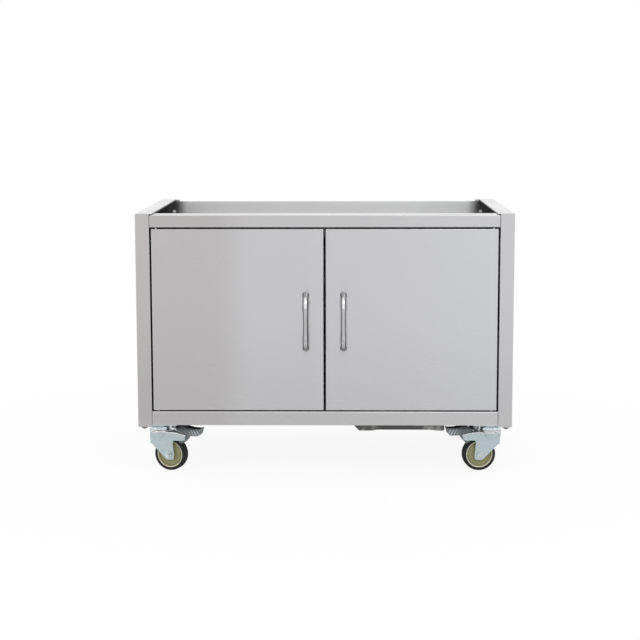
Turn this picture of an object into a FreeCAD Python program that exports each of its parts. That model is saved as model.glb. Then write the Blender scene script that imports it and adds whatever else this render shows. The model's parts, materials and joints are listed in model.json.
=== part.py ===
"""Stainless grill cart with a two-door storage cabinet, on four swivel casters.

Millimetres. +X to the right, +Y to the back, +Z up, floor at Z = 0. The origin is the centre
of the footprint, the handles and the back's screw heads counted in. Each sub-part is
written to parts/NODE.step.
"""
import FreeCAD, Part
import math
import os

# Cabinet, outside sizes
WIDTH = 900.0
DEPTH = 560.0
BODY_HEIGHT = 510.0
SHEET = 1.2
BEND = 0.8
WELD_SEAM = 0.6

# Side panels, folded so that the front edge reads as a post
POST_FACE = 34.0
POST_RETURN = 18.0
POST_LIP = 4.0
REAR_FLANGE = 50.0
TOP_FLANGE = 39.5
TOP_FLANGE_LIP = 3.5

# Front rails
TOP_RAIL_HEIGHT = 29.0
TOP_RAIL_FLANGE = 65.0
TOP_RAIL_RETURN = 15.0
BOTTOM_RAIL_HEIGHT = 34.0
RAIL_INNER_RETURN = 40.0
RAIL_TAB = 15.0
CASTER_FLANGE = 88.0

# Back panel and its vents
BACK_TOP_DROP = 5.0
BACK_HEM = 14.0
HEM_GAP = 0.1
VENT_WIDTH = 8.0
VENT_LENGTH = 52.0
VENT_PITCH = 24.0
VENT_COUNT = 8
VENT_HEIGHTS = (95.0, 400.0)

# Floor panel, tray over the cabinet, tank well
PAN_FLANGE = 20.0
TRAY_DEPTH = 57.0
TRAY_WALL_DROP = 3.0
WELL_FROM_SIDE = 260.0
WELL_RADIUS = 115.0
WELL_DEPTH = 49.0
WELL_TAPER = 15.0
WELL_RIM = 12.0
WELL_CORNER = 8.0
WELL_FIT = 1.0
WELL_DRAIN_RADIUS = 6.0
WELL_DRAIN_CIRCLE = 60.0
WELL_DRAINS = 6
HOSE_X = 300.0
HOSE_FROM_BACK = 110.0
HOSE_HOLE_RADIUS = 21.0
GROMMET_LIP = 5.0
GROMMET_WALL = 3.0
GROMMET_LIP_THICK = 2.5

# Clamp screw that holds a gas bottle's foot ring in the well
CLAMP_ANGLE = 218.0
CLAMP_BELOW_FLOOR = 30.0
CLAMP_RADIUS = 4.0
CLAMP_REACH_IN = 24.0
CLAMP_NUT_HEIGHT = 7.0
CLAMP_THREAD_GAP = 0.08
WING_SPAN = 32.0
WING_THICK = 5.0
WING_DEPTH = 14.0
WING_HUB_RADIUS = 7.0

# Doors
DOOR_THICK = 18.0
DOOR_GAP_SIDE = 3.8
DOOR_GAP_TOP = 3.8
DOOR_GAP_BOTTOM = 3.0
DOOR_GAP_CENTRE = 5.0
LINER_FLANGE = 12.0
LINER_FIT = 0.05

# Door pivots
PIVOT_INSET = 11.0
PIVOT_RADIUS = 3.0
PIVOT_HEAD_RADIUS = 5.5
PIVOT_HEAD = 2.5
PIVOT_ENGAGEMENT = 6.0
PIVOT_CLEARANCE = 0.05
BUSH_RADIUS = 5.0
BUSH_BARREL = 7.0
BUSH_FLANGE_RADIUS = 6.5
BUSH_FLANGE = 1.2
BUSH_FIT = 0.05
THRUST_GAP = 0.3

# Handles
HANDLE_FROM_EDGE = 42.5
HANDLE_DROP = 3.0
HANDLE_CENTRES = 127.0
HANDLE_STANDOFF = 38.0
HANDLE_BEND = 30.0
HANDLE_CAST_RADIUS = 6.75
HANDLE_TUBE_RADIUS = 5.5
HANDLE_TUBE_SHOWN = 57.0
HANDLE_SOCKET = 9.0
HANDLE_COLLAR_RADIUS = 8.25
HANDLE_COLLAR = 3.5
HANDLE_COLLAR_TAPER = 2.5
HANDLE_FIT = 0.05
HANDLE_SCREW_RADIUS = 2.5
HANDLE_SCREW_DEPTH = 12.0
HANDLE_SCREW_HEAD_RADIUS = 4.5
HANDLE_SCREW_HEAD = 2.8

# Magnetic catch at the foot of the centre gap
CATCH_WIDTH = 84.0
CATCH_HEIGHT = 19.0
CATCH_DEPTH = 16.0
CATCH_CORNER = 3.0
CATCH_GAP = 0.4
MAGNET_WIDTH = 26.0
MAGNET_HEIGHT = 12.0
MAGNET_DEPTH = 6.0
MAGNET_FROM_CENTRE = 22.0
STRIKE_WIDTH = 30.0
STRIKE_HEIGHT = 14.0
STRIKE_THICK = 1.2
STRIKE_CORNER = 2.0

# Screws, bolts and nuts
SCREW_RADIUS = 2.5
SCREW_HEAD_RADIUS = 4.6
SCREW_HEAD = 2.6
SCREW_CLEARANCE = 0.25
SCREW_NUT_FLATS = 8.0
SCREW_NUT = 4.0
SCREW_TIP = 2.0
BACK_BOLT_FROM_SIDE = 35.5
BACK_BOLT_BELOW_TOP = 33.0
BACK_BOLT_ROWS = 3
BOLT_RADIUS = 4.0
BOLT_FLATS = 13.0
BOLT_HEAD = 5.3
BOLT_NUT = 6.5
BOLT_TIP = 2.0
BOLT_CLEARANCE = 0.25

# Casters: plate, bearing and king pin
CASTER_HEIGHT = 117.0
CASTER_FROM_SIDE = 49.0
CASTER_FROM_FACE = 46.0
PLATE_LENGTH = 90.0
PLATE_WIDTH = 64.0
PLATE_THICK = 4.0
PLATE_CORNER = 8.0
PLATE_HOLES_X = 73.0
PLATE_HOLES_Y = 45.0
CUP_RADIUS = 26.0
CUP_NECK_RADIUS = 21.5
CUP_WALL = 2.5
CUP_SHOULDER = 8.0
CUP_ROUNDING = 3.0
CUP_BOTTOM = 18.5
KING_PIN_RADIUS = 5.0
KING_PIN_HEAD_RADIUS = 8.5
KING_PIN_HEAD = 3.0
KING_PIN_CLEARANCE = 0.05
BALL_RADIUS = 2.5
BALL_GAP = 0.15
BALL_COUNT = 16

# Casters: wheel
WHEEL_RADIUS = 40.0
WHEEL_TRAIL = 28.0
TREAD_WIDTH = 26.0
TREAD_SHOULDER = 5.5
TYRE_BEAD = 1.2
RIM_RADIUS = 32.3
RIM_LIP = 1.8
RIM_WIDTH = 22.0
WEB_WIDTH = 15.0
HUB_RADIUS = 11.0
HUB_END_GAP = 0.5
WHEEL_SIDE_GAP = 2.0
TYRE_FIT = 0.05
AXLE_RADIUS = 4.0
AXLE_SLEEVE_RADIUS = 6.0
AXLE_CLEARANCE = 0.06

# Casters: pressed yoke
YOKE_SHEET = 2.5
YOKE_TOP = 21.0
YOKE_FOLD = 2.0
CROWN_RADIUS = 26.5
CROWN_SKIRT = 24.0
CROWN_EDGE = 2.0
CROWN_WALL = 4.0
CROWN_OVERLAP = 5.0
CHEEK_CORNER = 8.0
CHEEK_DROP = 29.5
CHEEK_LENGTH = 7.0
CHEEK_TIP = 3.0
ARCH_DROP = 12.0
ARCH_CORNER = 9.0
ARM_REACH = 72.0
ARM_FLAT = 46.0
ARM_BEND = 45.0
ARM_TIP_DROP = 5.7
ARM_TIP_HEIGHT = 11.5
ARM_TIP_RAKE = 2.5
ARM_TIP_CORNER = 1.5
ARM_DROP = 21.0
ARM_TOE_LENGTH = 9.0
LEG_BACK = 13.0
LEG_LEAN = 3.5
LEG_FOOT = 13.5
LEG_TOE = 7.0
LEG_THROAT = 5.0
ROOF_REACH = 36.0
BRAKE_ROOF_REACH = 48.5

# Foot brake on the two front casters
PEDAL_PIVOT_X = 62.0
PEDAL_PIVOT_DROP = 10.0
PEDAL_PIN_RADIUS = 2.5
PEDAL_PIN_CLEARANCE = 0.05
PEDAL_SHEET = 1.6
PEDAL_SIDE_GAP = 1.0
PEDAL_REAR = 49.8
PEDAL_REAR_TOP = 13.5
PEDAL_REAR_LOW = 9.0
PEDAL_CREST = 7.0
PEDAL_CREST_RISE = 6.5
PEDAL_CREST_LENGTH = 9.0
PEDAL_TOP = 9.5
PEDAL_SAG = 1.5
PEDAL_SAG_LENGTH = 22.0
PEDAL_REACH = 109.0
PEDAL_TOE_SLOPE = 6.5
PEDAL_TOE_LIP = 4.0
PEDAL_BOTTOM = 28.5
PEDAL_ARM_GAP = 2.0
PEDAL_NECK_DROP = 38.5
PEDAL_NECK_BACK = 1.5
PEDAL_RIB_RADIUS = 1.0
PEDAL_RIBS = 5
PEDAL_RIB_PITCH = 5.0
PEDAL_TRAVEL = 11.0
BRAKE_ANGLE = 50.0
BRAKE_CLEARANCE = 0.3
BRAKE_HEEL = 3.0
BRAKE_TOE = 4.0
SPRING_THICK = 1.0
SPRING_WIDTH = 22.0
SPRING_TAIL = 14.0
SPRING_BEND = 4.0
SPRING_TIP_OVER_ARM = 5.0
SPRING_TIP_GAP = 0.4
SPRING_RIVET_X = 43.0
SPRING_RIVET_RADIUS = 2.5
SPRING_RIVET_HEAD_RADIUS = 4.5
SPRING_RIVET_HEAD = 2.2

# Largest share of a side that the roundings at its two ends may take
ROUNDING_SHARE = 0.99

# Which way each caster trails, degrees from +X
HEADINGS = {"front_left": -17.0, "front_right": 188.0, "rear_left": -84.0, "rear_right": 263.0}
BRAKED = ("front_left", "front_right")

# Worked out from the sizes above
HANDLE_REACH = HANDLE_STANDOFF + HANDLE_CAST_RADIUS
SIDE_X = WIDTH / 2
FRONT_Y = (HANDLE_REACH - DEPTH - SCREW_HEAD) / 2
BACK_Y = FRONT_Y + DEPTH
BASE_Z = CASTER_HEIGHT
TOP_Z = BASE_Z + BODY_HEIGHT
POST_X = SIDE_X - POST_FACE
RAIL_TOP_Z = TOP_Z - TOP_FLANGE_LIP
TOP_RAIL_Z = RAIL_TOP_Z - TOP_RAIL_HEIGHT
BOTTOM_RAIL_Z = BASE_Z + BOTTOM_RAIL_HEIGHT
RAIL_END_X = POST_X - WELD_SEAM
SKIN_X = SIDE_X - SHEET
BACK_SKIN_Y = BACK_Y - SHEET
BACK_INNER_Y = BACK_SKIN_Y - SHEET
FLOOR_Z = BASE_Z + SHEET
FLOOR_TOP_Z = FLOOR_Z + SHEET
TRAY_Z = RAIL_TOP_Z - TRAY_DEPTH
DOOR_OUTER_X = POST_X - DOOR_GAP_SIDE
DOOR_INNER_X = DOOR_GAP_CENTRE / 2
DOOR_BOTTOM_Z = BOTTOM_RAIL_Z + DOOR_GAP_BOTTOM
DOOR_TOP_Z = TOP_RAIL_Z - DOOR_GAP_TOP
DOOR_BACK_Y = FRONT_Y + DOOR_THICK
PIVOT_X = DOOR_OUTER_X - PIVOT_INSET
PIVOT_Y = FRONT_Y + DOOR_THICK / 2
HANDLE_Z = (DOOR_BOTTOM_Z + DOOR_TOP_Z) / 2 - HANDLE_DROP
HANDLE_X = DOOR_INNER_X + HANDLE_FROM_EDGE
WELL_X = SIDE_X - WELL_FROM_SIDE
WELL_Y = (FRONT_Y + BACK_Y) / 2
CATCH_Y = DOOR_BACK_Y + STRIKE_THICK + CATCH_GAP
CATCH_Z = BOTTOM_RAIL_Z
YOKE_INNER = TREAD_WIDTH / 2 + WHEEL_SIDE_GAP
YOKE_OUTER = YOKE_INNER + YOKE_SHEET
AXLE_DROP = CASTER_HEIGHT - WHEEL_RADIUS
BALL_CIRCLE = CUP_RADIUS - CUP_WALL - BALL_RADIUS - BALL_GAP
SEAT_RADIUS = BALL_CIRCLE - BALL_RADIUS - BALL_GAP
BALL_DROP = CUP_BOTTOM - BALL_RADIUS
PEDAL_PIVOT_Z = -YOKE_TOP - PEDAL_PIVOT_DROP
PEDAL_HALF = YOKE_INNER - PEDAL_SIDE_GAP

CASTER_SPOTS = {
    "front_left": (-SIDE_X + CASTER_FROM_SIDE, FRONT_Y + CASTER_FROM_FACE),
    "front_right": (SIDE_X - CASTER_FROM_SIDE, FRONT_Y + CASTER_FROM_FACE),
    "rear_left": (-SIDE_X + CASTER_FROM_SIDE, BACK_Y - CASTER_FROM_FACE),
    "rear_right": (SIDE_X - CASTER_FROM_SIDE, BACK_Y - CASTER_FROM_FACE),
}


# Drawing helpers

def place(plane, u, v, w):
    """A point of a flat drawing: u and v in the plane, w square to it."""
    if plane == "XY":
        return FreeCAD.Vector(u, v, w)
    if plane == "XZ":
        return FreeCAD.Vector(u, w, v)
    return FreeCAD.Vector(w, u, v)


def corner_arc(before, corner, after, radius):
    """Ends and middle of the tangent arc that rounds a corner."""
    ax, ay = before[0] - corner[0], before[1] - corner[1]
    bx, by = after[0] - corner[0], after[1] - corner[1]
    a_len, b_len = math.hypot(ax, ay), math.hypot(bx, by)
    ax, ay, bx, by = ax / a_len, ay / a_len, bx / b_len, by / b_len
    half = math.acos(max(-1.0, min(1.0, ax * bx + ay * by))) / 2
    back = radius / math.tan(half)
    mx, my = ax + bx, ay + by
    m_len = math.hypot(mx, my)
    to_arc = radius / math.sin(half) - radius
    start = (corner[0] + ax * back, corner[1] + ay * back)
    middle = (corner[0] + mx / m_len * to_arc, corner[1] + my / m_len * to_arc)
    end = (corner[0] + bx * back, corner[1] + by * back)
    return start, middle, end


def rounding_length(corners, i):
    """How far along its two sides a corner's rounding reaches."""
    here, before, after = corners[i], corners[i - 1], corners[(i + 1) % len(corners)]
    if len(here) < 3 or here[2] <= 0:
        return 0.0
    back = math.atan2(before[1] - here[1], before[0] - here[0])
    ahead = math.atan2(after[1] - here[1], after[0] - here[0])
    turn = abs(math.remainder(back - ahead, 2 * math.pi))
    return here[2] / math.tan(turn / 2)


def held_back(corners):
    """The same corners, their roundings made smaller where two would meet on a short side."""
    count = len(corners)
    reaches = [rounding_length(corners, i) for i in range(count)]
    factors = [1.0] * count
    for i in range(count):
        j = (i + 1) % count
        side = math.hypot(corners[j][0] - corners[i][0], corners[j][1] - corners[i][1])
        wanted = reaches[i] + reaches[j]
        if wanted > side * ROUNDING_SHARE:
            factor = side * ROUNDING_SHARE / wanted
            factors[i] = min(factors[i], factor)
            factors[j] = min(factors[j], factor)
    return [c[:2] + (c[2] * k,) if len(c) > 2 else tuple(c) for c, k in zip(corners, factors)]


def outline(corners, plane, w):
    """Closed wire through corners (u, v) or (u, v, radius of the rounding)."""
    corners = held_back(corners)
    count = len(corners)
    stretches = []
    for i, corner in enumerate(corners):
        radius = corner[2] if len(corner) > 2 else 0.0
        if radius > 0:
            stretches.append(corner_arc(corners[i - 1], corner, corners[(i + 1) % count], radius))
        else:
            stretches.append((corner[:2],))
    edges = []
    for i, stretch in enumerate(stretches):
        points = [place(plane, p[0], p[1], w) for p in stretch]
        if len(points) == 3:
            edges.append(Part.Arc(points[0], points[1], points[2]).toShape())
        following = stretches[(i + 1) % count][0]
        target = place(plane, following[0], following[1], w)
        if points[-1].distanceToPoint(target) > 1e-6:
            edges.append(Part.LineSegment(points[-1], target).toShape())
    return Part.Wire(edges)


def prism(corners, plane, start, end):
    """Solid from a flat outline, from w = start to w = end."""
    face = Part.Face(outline(corners, plane, start))
    return face.extrude(place(plane, 0, 0, end - start))


def folded(path, radii):
    """Corners of a bent sheet. The path runs along one skin, the metal lies to its left."""
    normals = []
    for a, b in zip(path, path[1:]):
        length = math.hypot(b[0] - a[0], b[1] - a[1])
        normals.append((-(b[1] - a[1]) / length, (b[0] - a[0]) / length))
    skin = [path[0]]
    inside = [(path[0][0] + normals[0][0] * SHEET, path[0][1] + normals[0][1] * SHEET)]
    for i in range(1, len(path) - 1):
        (ax, ay), (bx, by) = normals[i - 1], normals[i]
        shift = SHEET / (1 + ax * bx + ay * by)
        left_turn = ax * by - ay * bx > 0
        inner = radii[i - 1]
        skin.append((path[i][0], path[i][1], inner + SHEET if left_turn else inner))
        inside.append((path[i][0] + (ax + bx) * shift, path[i][1] + (ay + by) * shift,
                       inner if left_turn else inner + SHEET))
    skin.append(path[-1])
    inside.append((path[-1][0] + normals[-1][0] * SHEET, path[-1][1] + normals[-1][1] * SHEET))
    return skin + inside[::-1]


def sheet(path, plane, start, end, radii=None):
    """Bent sheet of one thickness, drawn as its section and drawn out along w."""
    return prism(folded(path, radii or [BEND] * (len(path) - 2)), plane, start, end)


def box(x0, y0, z0, x1, y1, z1):
    """Box between two corners."""
    return Part.makeBox(x1 - x0, y1 - y0, z1 - z0, FreeCAD.Vector(x0, y0, z0))


def rod(radius, start, end):
    """Cylinder from one point to another."""
    a, b = FreeCAD.Vector(*start), FreeCAD.Vector(*end)
    return Part.makeCylinder(radius, (b - a).Length, a, b - a)


def hexagon(flats, start, end):
    """Six-sided prism from one point to another, as a bolt head or a nut."""
    a, b = FreeCAD.Vector(*start), FreeCAD.Vector(*end)
    across = flats / math.sqrt(3)
    points = []
    for k in range(7):
        angle = math.radians(60 * k)
        points.append(FreeCAD.Vector(across * math.cos(angle), across * math.sin(angle), 0))
    solid = Part.Face(Part.makePolygon(points)).extrude(FreeCAD.Vector(0, 0, (b - a).Length))
    solid.Placement = FreeCAD.Placement(a, FreeCAD.Rotation(FreeCAD.Vector(0, 0, 1), b - a))
    return solid


def turned(profile):
    """Solid of revolution about Z from (radius, z) or (radius, z, rounding) corners."""
    face = Part.Face(outline(profile, "XZ", 0))
    return face.revolve(FreeCAD.Vector(0, 0, 0), FreeCAD.Vector(0, 0, 1), 360)


def moved(shape, x, y, z):
    """Copy of a shape, shifted."""
    return shape.translated(FreeCAD.Vector(x, y, z))


def mirrored(shape):
    """Copy of a shape on the other side of the middle of the cart."""
    return shape.mirror(FreeCAD.Vector(0, 0, 0), FreeCAD.Vector(1, 0, 0))


def drill(shape, tools):
    """Shape with holes cut by a list of tools."""
    return shape.cut(Part.makeCompound(tools))


def slotted(length, width, x, z, y0, y1):
    """Upright round-ended slot cutter through the XZ plane."""
    half, ends = width / 2, length / 2
    return prism([(x - half, z - ends, half), (x + half, z - ends, half),
                  (x + half, z + ends, half), (x - half, z + ends, half)], "XZ", y0, y1)


# Hole patterns that several pieces share

def caster_bolt_spots(names=CASTER_SPOTS):
    """Centres of the bolts of the named casters."""
    spots = []
    for name in names:
        x, y = CASTER_SPOTS[name]
        for sx in (-1, 1):
            for sy in (-1, 1):
                spots.append((x + sx * PLATE_HOLES_X / 2, y + sy * PLATE_HOLES_Y / 2))
    return spots


def caster_holes(z0, z1):
    """Cutters for every caster bolt."""
    radius = BOLT_RADIUS + BOLT_CLEARANCE
    return [rod(radius, (x, y, z0), (x, y, z1)) for x, y in caster_bolt_spots()]


def rail_screw_spots():
    """Heights of the screws that join the rails to the posts, with their Y."""
    upper = (TOP_RAIL_Z + RAIL_TOP_Z) / 2
    lower = (BASE_Z + BOTTOM_RAIL_Z) / 2
    return [(FRONT_Y + SHEET + RAIL_TAB / 2, z) for z in (upper, lower)]


def rail_screw_holes():
    """Cutters for the rail screws, right across the cart."""
    radius = SCREW_RADIUS + SCREW_CLEARANCE
    reach = SIDE_X - SHEET * 2
    return [rod(radius, (-reach, y, z), (reach, y, z)) for y, z in rail_screw_spots()]


def back_bolt_spots():
    """Places of the bolts that join the back panel to the side panels."""
    high = TOP_Z - BACK_BOLT_BELOW_TOP
    low = BASE_Z + BACK_BOLT_BELOW_TOP
    step = (high - low) / (BACK_BOLT_ROWS - 1)
    heights = [low + step * k for k in range(BACK_BOLT_ROWS)]
    return [(side * (SIDE_X - BACK_BOLT_FROM_SIDE), z) for side in (-1, 1) for z in heights]


def back_bolt_holes():
    """Cutters for the back panel's bolts."""
    radius = SCREW_RADIUS + SCREW_CLEARANCE
    front, back = BACK_INNER_Y - SHEET, BACK_Y + SHEET
    return [rod(radius, (x, front, z), (x, back, z)) for x, z in back_bolt_spots()]


def tray_screw_spots():
    """Places of the screws that join the tray to the top rail."""
    z = RAIL_TOP_Z - TOP_RAIL_RETURN / 2 - BEND
    return [(x, z) for x in (-POST_X + TOP_FLANGE, -POST_X / 3, POST_X / 3, POST_X - TOP_FLANGE)]


def tray_screw_holes():
    """Cutters for the tray screws."""
    y = FRONT_Y + TOP_RAIL_FLANGE
    radius = SCREW_RADIUS + SCREW_CLEARANCE
    reach = SHEET * 3
    return [rod(radius, (x, y - reach, z), (x, y + reach, z)) for x, z in tray_screw_spots()]


def bush_holes(z):
    """Cutters for the two pivot bushes in a rail's return at height z."""
    radius, reach = BUSH_RADIUS + BUSH_FIT, SHEET * 2
    return [rod(radius, (x, PIVOT_Y, z - reach), (x, PIVOT_Y, z + reach)) for x in (-PIVOT_X, PIVOT_X)]


# Cabinet

def side_panel_left():
    """Folded side: skin, post and its return, rear flange, top flange with a turned lip."""
    plan = [(-SIDE_X + REAR_FLANGE, BACK_Y), (-SIDE_X, BACK_Y), (-SIDE_X, FRONT_Y),
            (-POST_X, FRONT_Y), (-POST_X, FRONT_Y + POST_RETURN)]
    wall = sheet(plan, "XY", BASE_Z - POST_LIP, TOP_Z - SHEET)
    edge_x = -SIDE_X + TOP_FLANGE
    section = [(edge_x, RAIL_TOP_Z), (edge_x, TOP_Z), (-SIDE_X, TOP_Z), (-SIDE_X, RAIL_TOP_Z)]
    flange = sheet(section, "XZ", FRONT_Y, BACK_Y)
    outer = BEND + SHEET
    corners = [(edge_x, FRONT_Y), (edge_x, BACK_Y), (-SIDE_X, BACK_Y, outer), (-SIDE_X, FRONT_Y, outer)]
    footprint = prism(corners, "XY", RAIL_TOP_Z - SHEET, TOP_Z + SHEET)
    panel = wall.fuse(flange.common(footprint)).removeSplitter()
    notch = box(-POST_X - 2 * SHEET, FRONT_Y + outer, BASE_Z - 2 * POST_LIP,
                -POST_X + SHEET, FRONT_Y + 2 * POST_RETURN, BASE_Z)
    return drill(panel, rail_screw_holes() + back_bolt_holes() + [notch])


def rail_tabs(z0, z1):
    """Upright tabs that close the ends of a rail and take its screws."""
    y0, y1 = FRONT_Y + SHEET / 2, FRONT_Y + SHEET + RAIL_TAB
    left = box(-RAIL_END_X, y0, z0 + SHEET / 2, -RAIL_END_X + SHEET, y1, z1 - SHEET / 2)
    return left.fuse(mirrored(left))


def front_top_rail():
    """Top rail: wide flange that the grill head rests on, face, return that takes the pivots."""
    back = FRONT_Y + TOP_RAIL_FLANGE
    section = [(back, RAIL_TOP_Z - TOP_RAIL_RETURN), (back, RAIL_TOP_Z), (FRONT_Y, RAIL_TOP_Z),
               (FRONT_Y, TOP_RAIL_Z), (FRONT_Y + RAIL_INNER_RETURN, TOP_RAIL_Z)]
    rail = sheet(section, "YZ", -RAIL_END_X, RAIL_END_X)
    rail = rail.fuse(rail_tabs(TOP_RAIL_Z, RAIL_TOP_Z)).removeSplitter()
    return drill(rail, rail_screw_holes() + tray_screw_holes() + bush_holes(TOP_RAIL_Z))


def front_bottom_rail():
    """Bottom rail: return that carries the doors, face, wide flange over the caster plates."""
    section = [(FRONT_Y + RAIL_INNER_RETURN, BOTTOM_RAIL_Z), (FRONT_Y, BOTTOM_RAIL_Z), (FRONT_Y, BASE_Z),
               (FRONT_Y + CASTER_FLANGE, BASE_Z)]
    rail = sheet(section, "YZ", -RAIL_END_X, RAIL_END_X)
    ear_y = FRONT_Y + SHEET * 3
    ears = box(-SKIN_X + SHEET, ear_y, BASE_Z, SKIN_X - SHEET, FRONT_Y + CASTER_FLANGE, FLOOR_Z)
    rail = rail.fuse(ears.cut(Part.makeCompound(post_slits(BASE_Z - SHEET, FLOOR_TOP_Z, RAIL_END_X))))
    rail = rail.fuse(rail_tabs(BASE_Z, BOTTOM_RAIL_Z)).removeSplitter()
    tools = rail_screw_holes() + caster_holes(BASE_Z - SHEET, FLOOR_TOP_Z) + bush_holes(BOTTOM_RAIL_Z)
    return drill(rail, tools)


def post_slits(z0, z1, inner_x):
    """Cutters that let a level sheet pass the returns of the two posts."""
    outer_x = POST_X + SHEET + WELD_SEAM
    left = box(-outer_x, FRONT_Y - SHEET, z0, -inner_x, FRONT_Y + POST_RETURN + WELD_SEAM, z1)
    return [left, mirrored(left)]


def vent_slots():
    """Cutters for the vents that a gas cabinet's back has, low and high beside the bottle."""
    first = WELL_X - VENT_PITCH * (VENT_COUNT - 1) / 2
    cutters = []
    for height in VENT_HEIGHTS:
        for k in range(VENT_COUNT):
            x, z = first + VENT_PITCH * k, BASE_Z + height
            cutters.append(slotted(VENT_LENGTH, VENT_WIDTH, x, z, BACK_INNER_Y - SHEET, BACK_Y))
    return cutters


def back_panel():
    """Back panel: hemmed top edge, vents, and a bottom flange over the caster plates."""
    top = TOP_Z - BACK_TOP_DROP
    hem = BACK_SKIN_Y - 2 * SHEET - 2 * HEM_GAP
    path = [(BACK_SKIN_Y - CASTER_FLANGE, BASE_Z), (BACK_SKIN_Y, BASE_Z), (BACK_SKIN_Y, top), (hem, top),
            (hem, top - BACK_HEM)]
    half = SKIN_X - BEND
    panel = sheet(path, "YZ", -half, half, [BEND, HEM_GAP / 2, HEM_GAP / 2])
    return drill(panel, back_bolt_holes() + caster_holes(BASE_Z - SHEET, FLOOR_TOP_Z) + vent_slots())


def pan(z, front, flange_front):
    """Sheet pan between the side skins, with low flanges up the sides and the back."""
    rim = z + PAN_FLANGE
    path = [(-SKIN_X, rim), (-SKIN_X, z), (SKIN_X, z), (SKIN_X, rim)]
    base = sheet(path, "XZ", flange_front, BACK_INNER_Y - SHEET - BEND)
    inner = SKIN_X - SHEET - BEND
    back = sheet([(front, z), (BACK_INNER_Y, z), (BACK_INNER_Y, rim)], "YZ", -inner, inner)
    return base.fuse(back).removeSplitter()


def floor_panel():
    """Cabinet floor with the opening for the tank well."""
    clear_y = FRONT_Y + POST_RETURN + WELD_SEAM
    floor = pan(FLOOR_Z, FRONT_Y + SHEET + BEND + WELD_SEAM, clear_y)
    low, high = FLOOR_Z - SHEET, FLOOR_TOP_Z + SHEET
    opening = rod(WELL_RADIUS + WELL_FIT, (WELL_X, WELL_Y, low), (WELL_X, WELL_Y, high))
    slits = post_slits(low, high, RAIL_END_X - SHEET - WELD_SEAM)
    return drill(floor, [opening] + caster_holes(low, high) + slits)


def top_tray():
    """Tray that closes the cabinet under the grill head, with the hose hole."""
    front = FRONT_Y + TOP_RAIL_FLANGE
    base = pan(TRAY_Z, front, front + SHEET)
    inner = SKIN_X - SHEET - BEND
    wall = box(-inner, front, TRAY_Z, inner, front + SHEET, RAIL_TOP_Z - TRAY_WALL_DROP)
    hose = rod(HOSE_HOLE_RADIUS, (HOSE_X, BACK_Y - HOSE_FROM_BACK, TRAY_Z - SHEET),
               (HOSE_X, BACK_Y - HOSE_FROM_BACK, TRAY_Z + SHEET * 2))
    return drill(base.fuse(wall).removeSplitter(), [hose] + tray_screw_holes())


def hose_grommet():
    """Rubber grommet in the tray's hose hole."""
    outer = HOSE_HOLE_RADIUS - BUSH_FIT
    bore = outer - GROMMET_WALL
    lip = HOSE_HOLE_RADIUS + GROMMET_LIP
    low, high = -GROMMET_LIP_THICK, SHEET + GROMMET_LIP_THICK
    profile = [(bore, low, 1.0), (lip, low, 1.0), (lip, 0), (outer, 0), (outer, SHEET), (lip, SHEET),
               (lip, high, 1.0), (bore, high, 1.0)]
    return moved(turned(profile), HOSE_X, BACK_Y - HOSE_FROM_BACK, TRAY_Z)


def tank_well():
    """Drawn well in the floor for a gas bottle's foot ring, with its weld nut and drains."""
    rim_z = SHEET
    bottom = -WELL_DEPTH
    foot = WELL_RADIUS - WELL_TAPER
    outer = BEND + SHEET
    profile = [(0, bottom), (foot, bottom, WELL_CORNER + SHEET), (WELL_RADIUS, 0, BEND),
               (WELL_RADIUS + WELL_RIM, 0), (WELL_RADIUS + WELL_RIM, rim_z),
               (WELL_RADIUS - SHEET, rim_z, outer), (foot - SHEET, bottom + SHEET, WELL_CORNER),
               (0, bottom + SHEET)]
    well = turned(profile)
    nut = hexagon(BOLT_FLATS, (well_wall_radius() - SHEET / 2, 0, -CLAMP_BELOW_FLOOR),
                  (well_wall_radius() + CLAMP_NUT_HEIGHT, 0, -CLAMP_BELOW_FLOOR))
    nut.rotate(FreeCAD.Vector(0, 0, 0), FreeCAD.Vector(0, 0, 1), CLAMP_ANGLE)
    well = well.fuse(nut)
    holes = [clamp_rod(CLAMP_RADIUS + CLAMP_THREAD_GAP, 0, WELL_RADIUS * 2)]
    for k in range(WELL_DRAINS):
        angle = 2 * math.pi * k / WELL_DRAINS
        x, y = WELL_DRAIN_CIRCLE * math.cos(angle), WELL_DRAIN_CIRCLE * math.sin(angle)
        holes.append(rod(WELL_DRAIN_RADIUS, (x, y, bottom - SHEET), (x, y, bottom + SHEET * 2)))
    return moved(drill(well, holes), WELL_X, WELL_Y, FLOOR_TOP_Z)


def well_wall_radius():
    """Outer radius of the well's wall at the clamp screw's height."""
    return WELL_RADIUS - WELL_TAPER * CLAMP_BELOW_FLOOR / WELL_DEPTH


def clamp_rod(radius, start, end):
    """Cylinder along the clamp screw's axis, from one distance from the well's centre to another."""
    cx, cy = math.cos(math.radians(CLAMP_ANGLE)), math.sin(math.radians(CLAMP_ANGLE))
    z = -CLAMP_BELOW_FLOOR
    return rod(radius, (cx * start, cy * start, z), (cx * end, cy * end, z))


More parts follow.
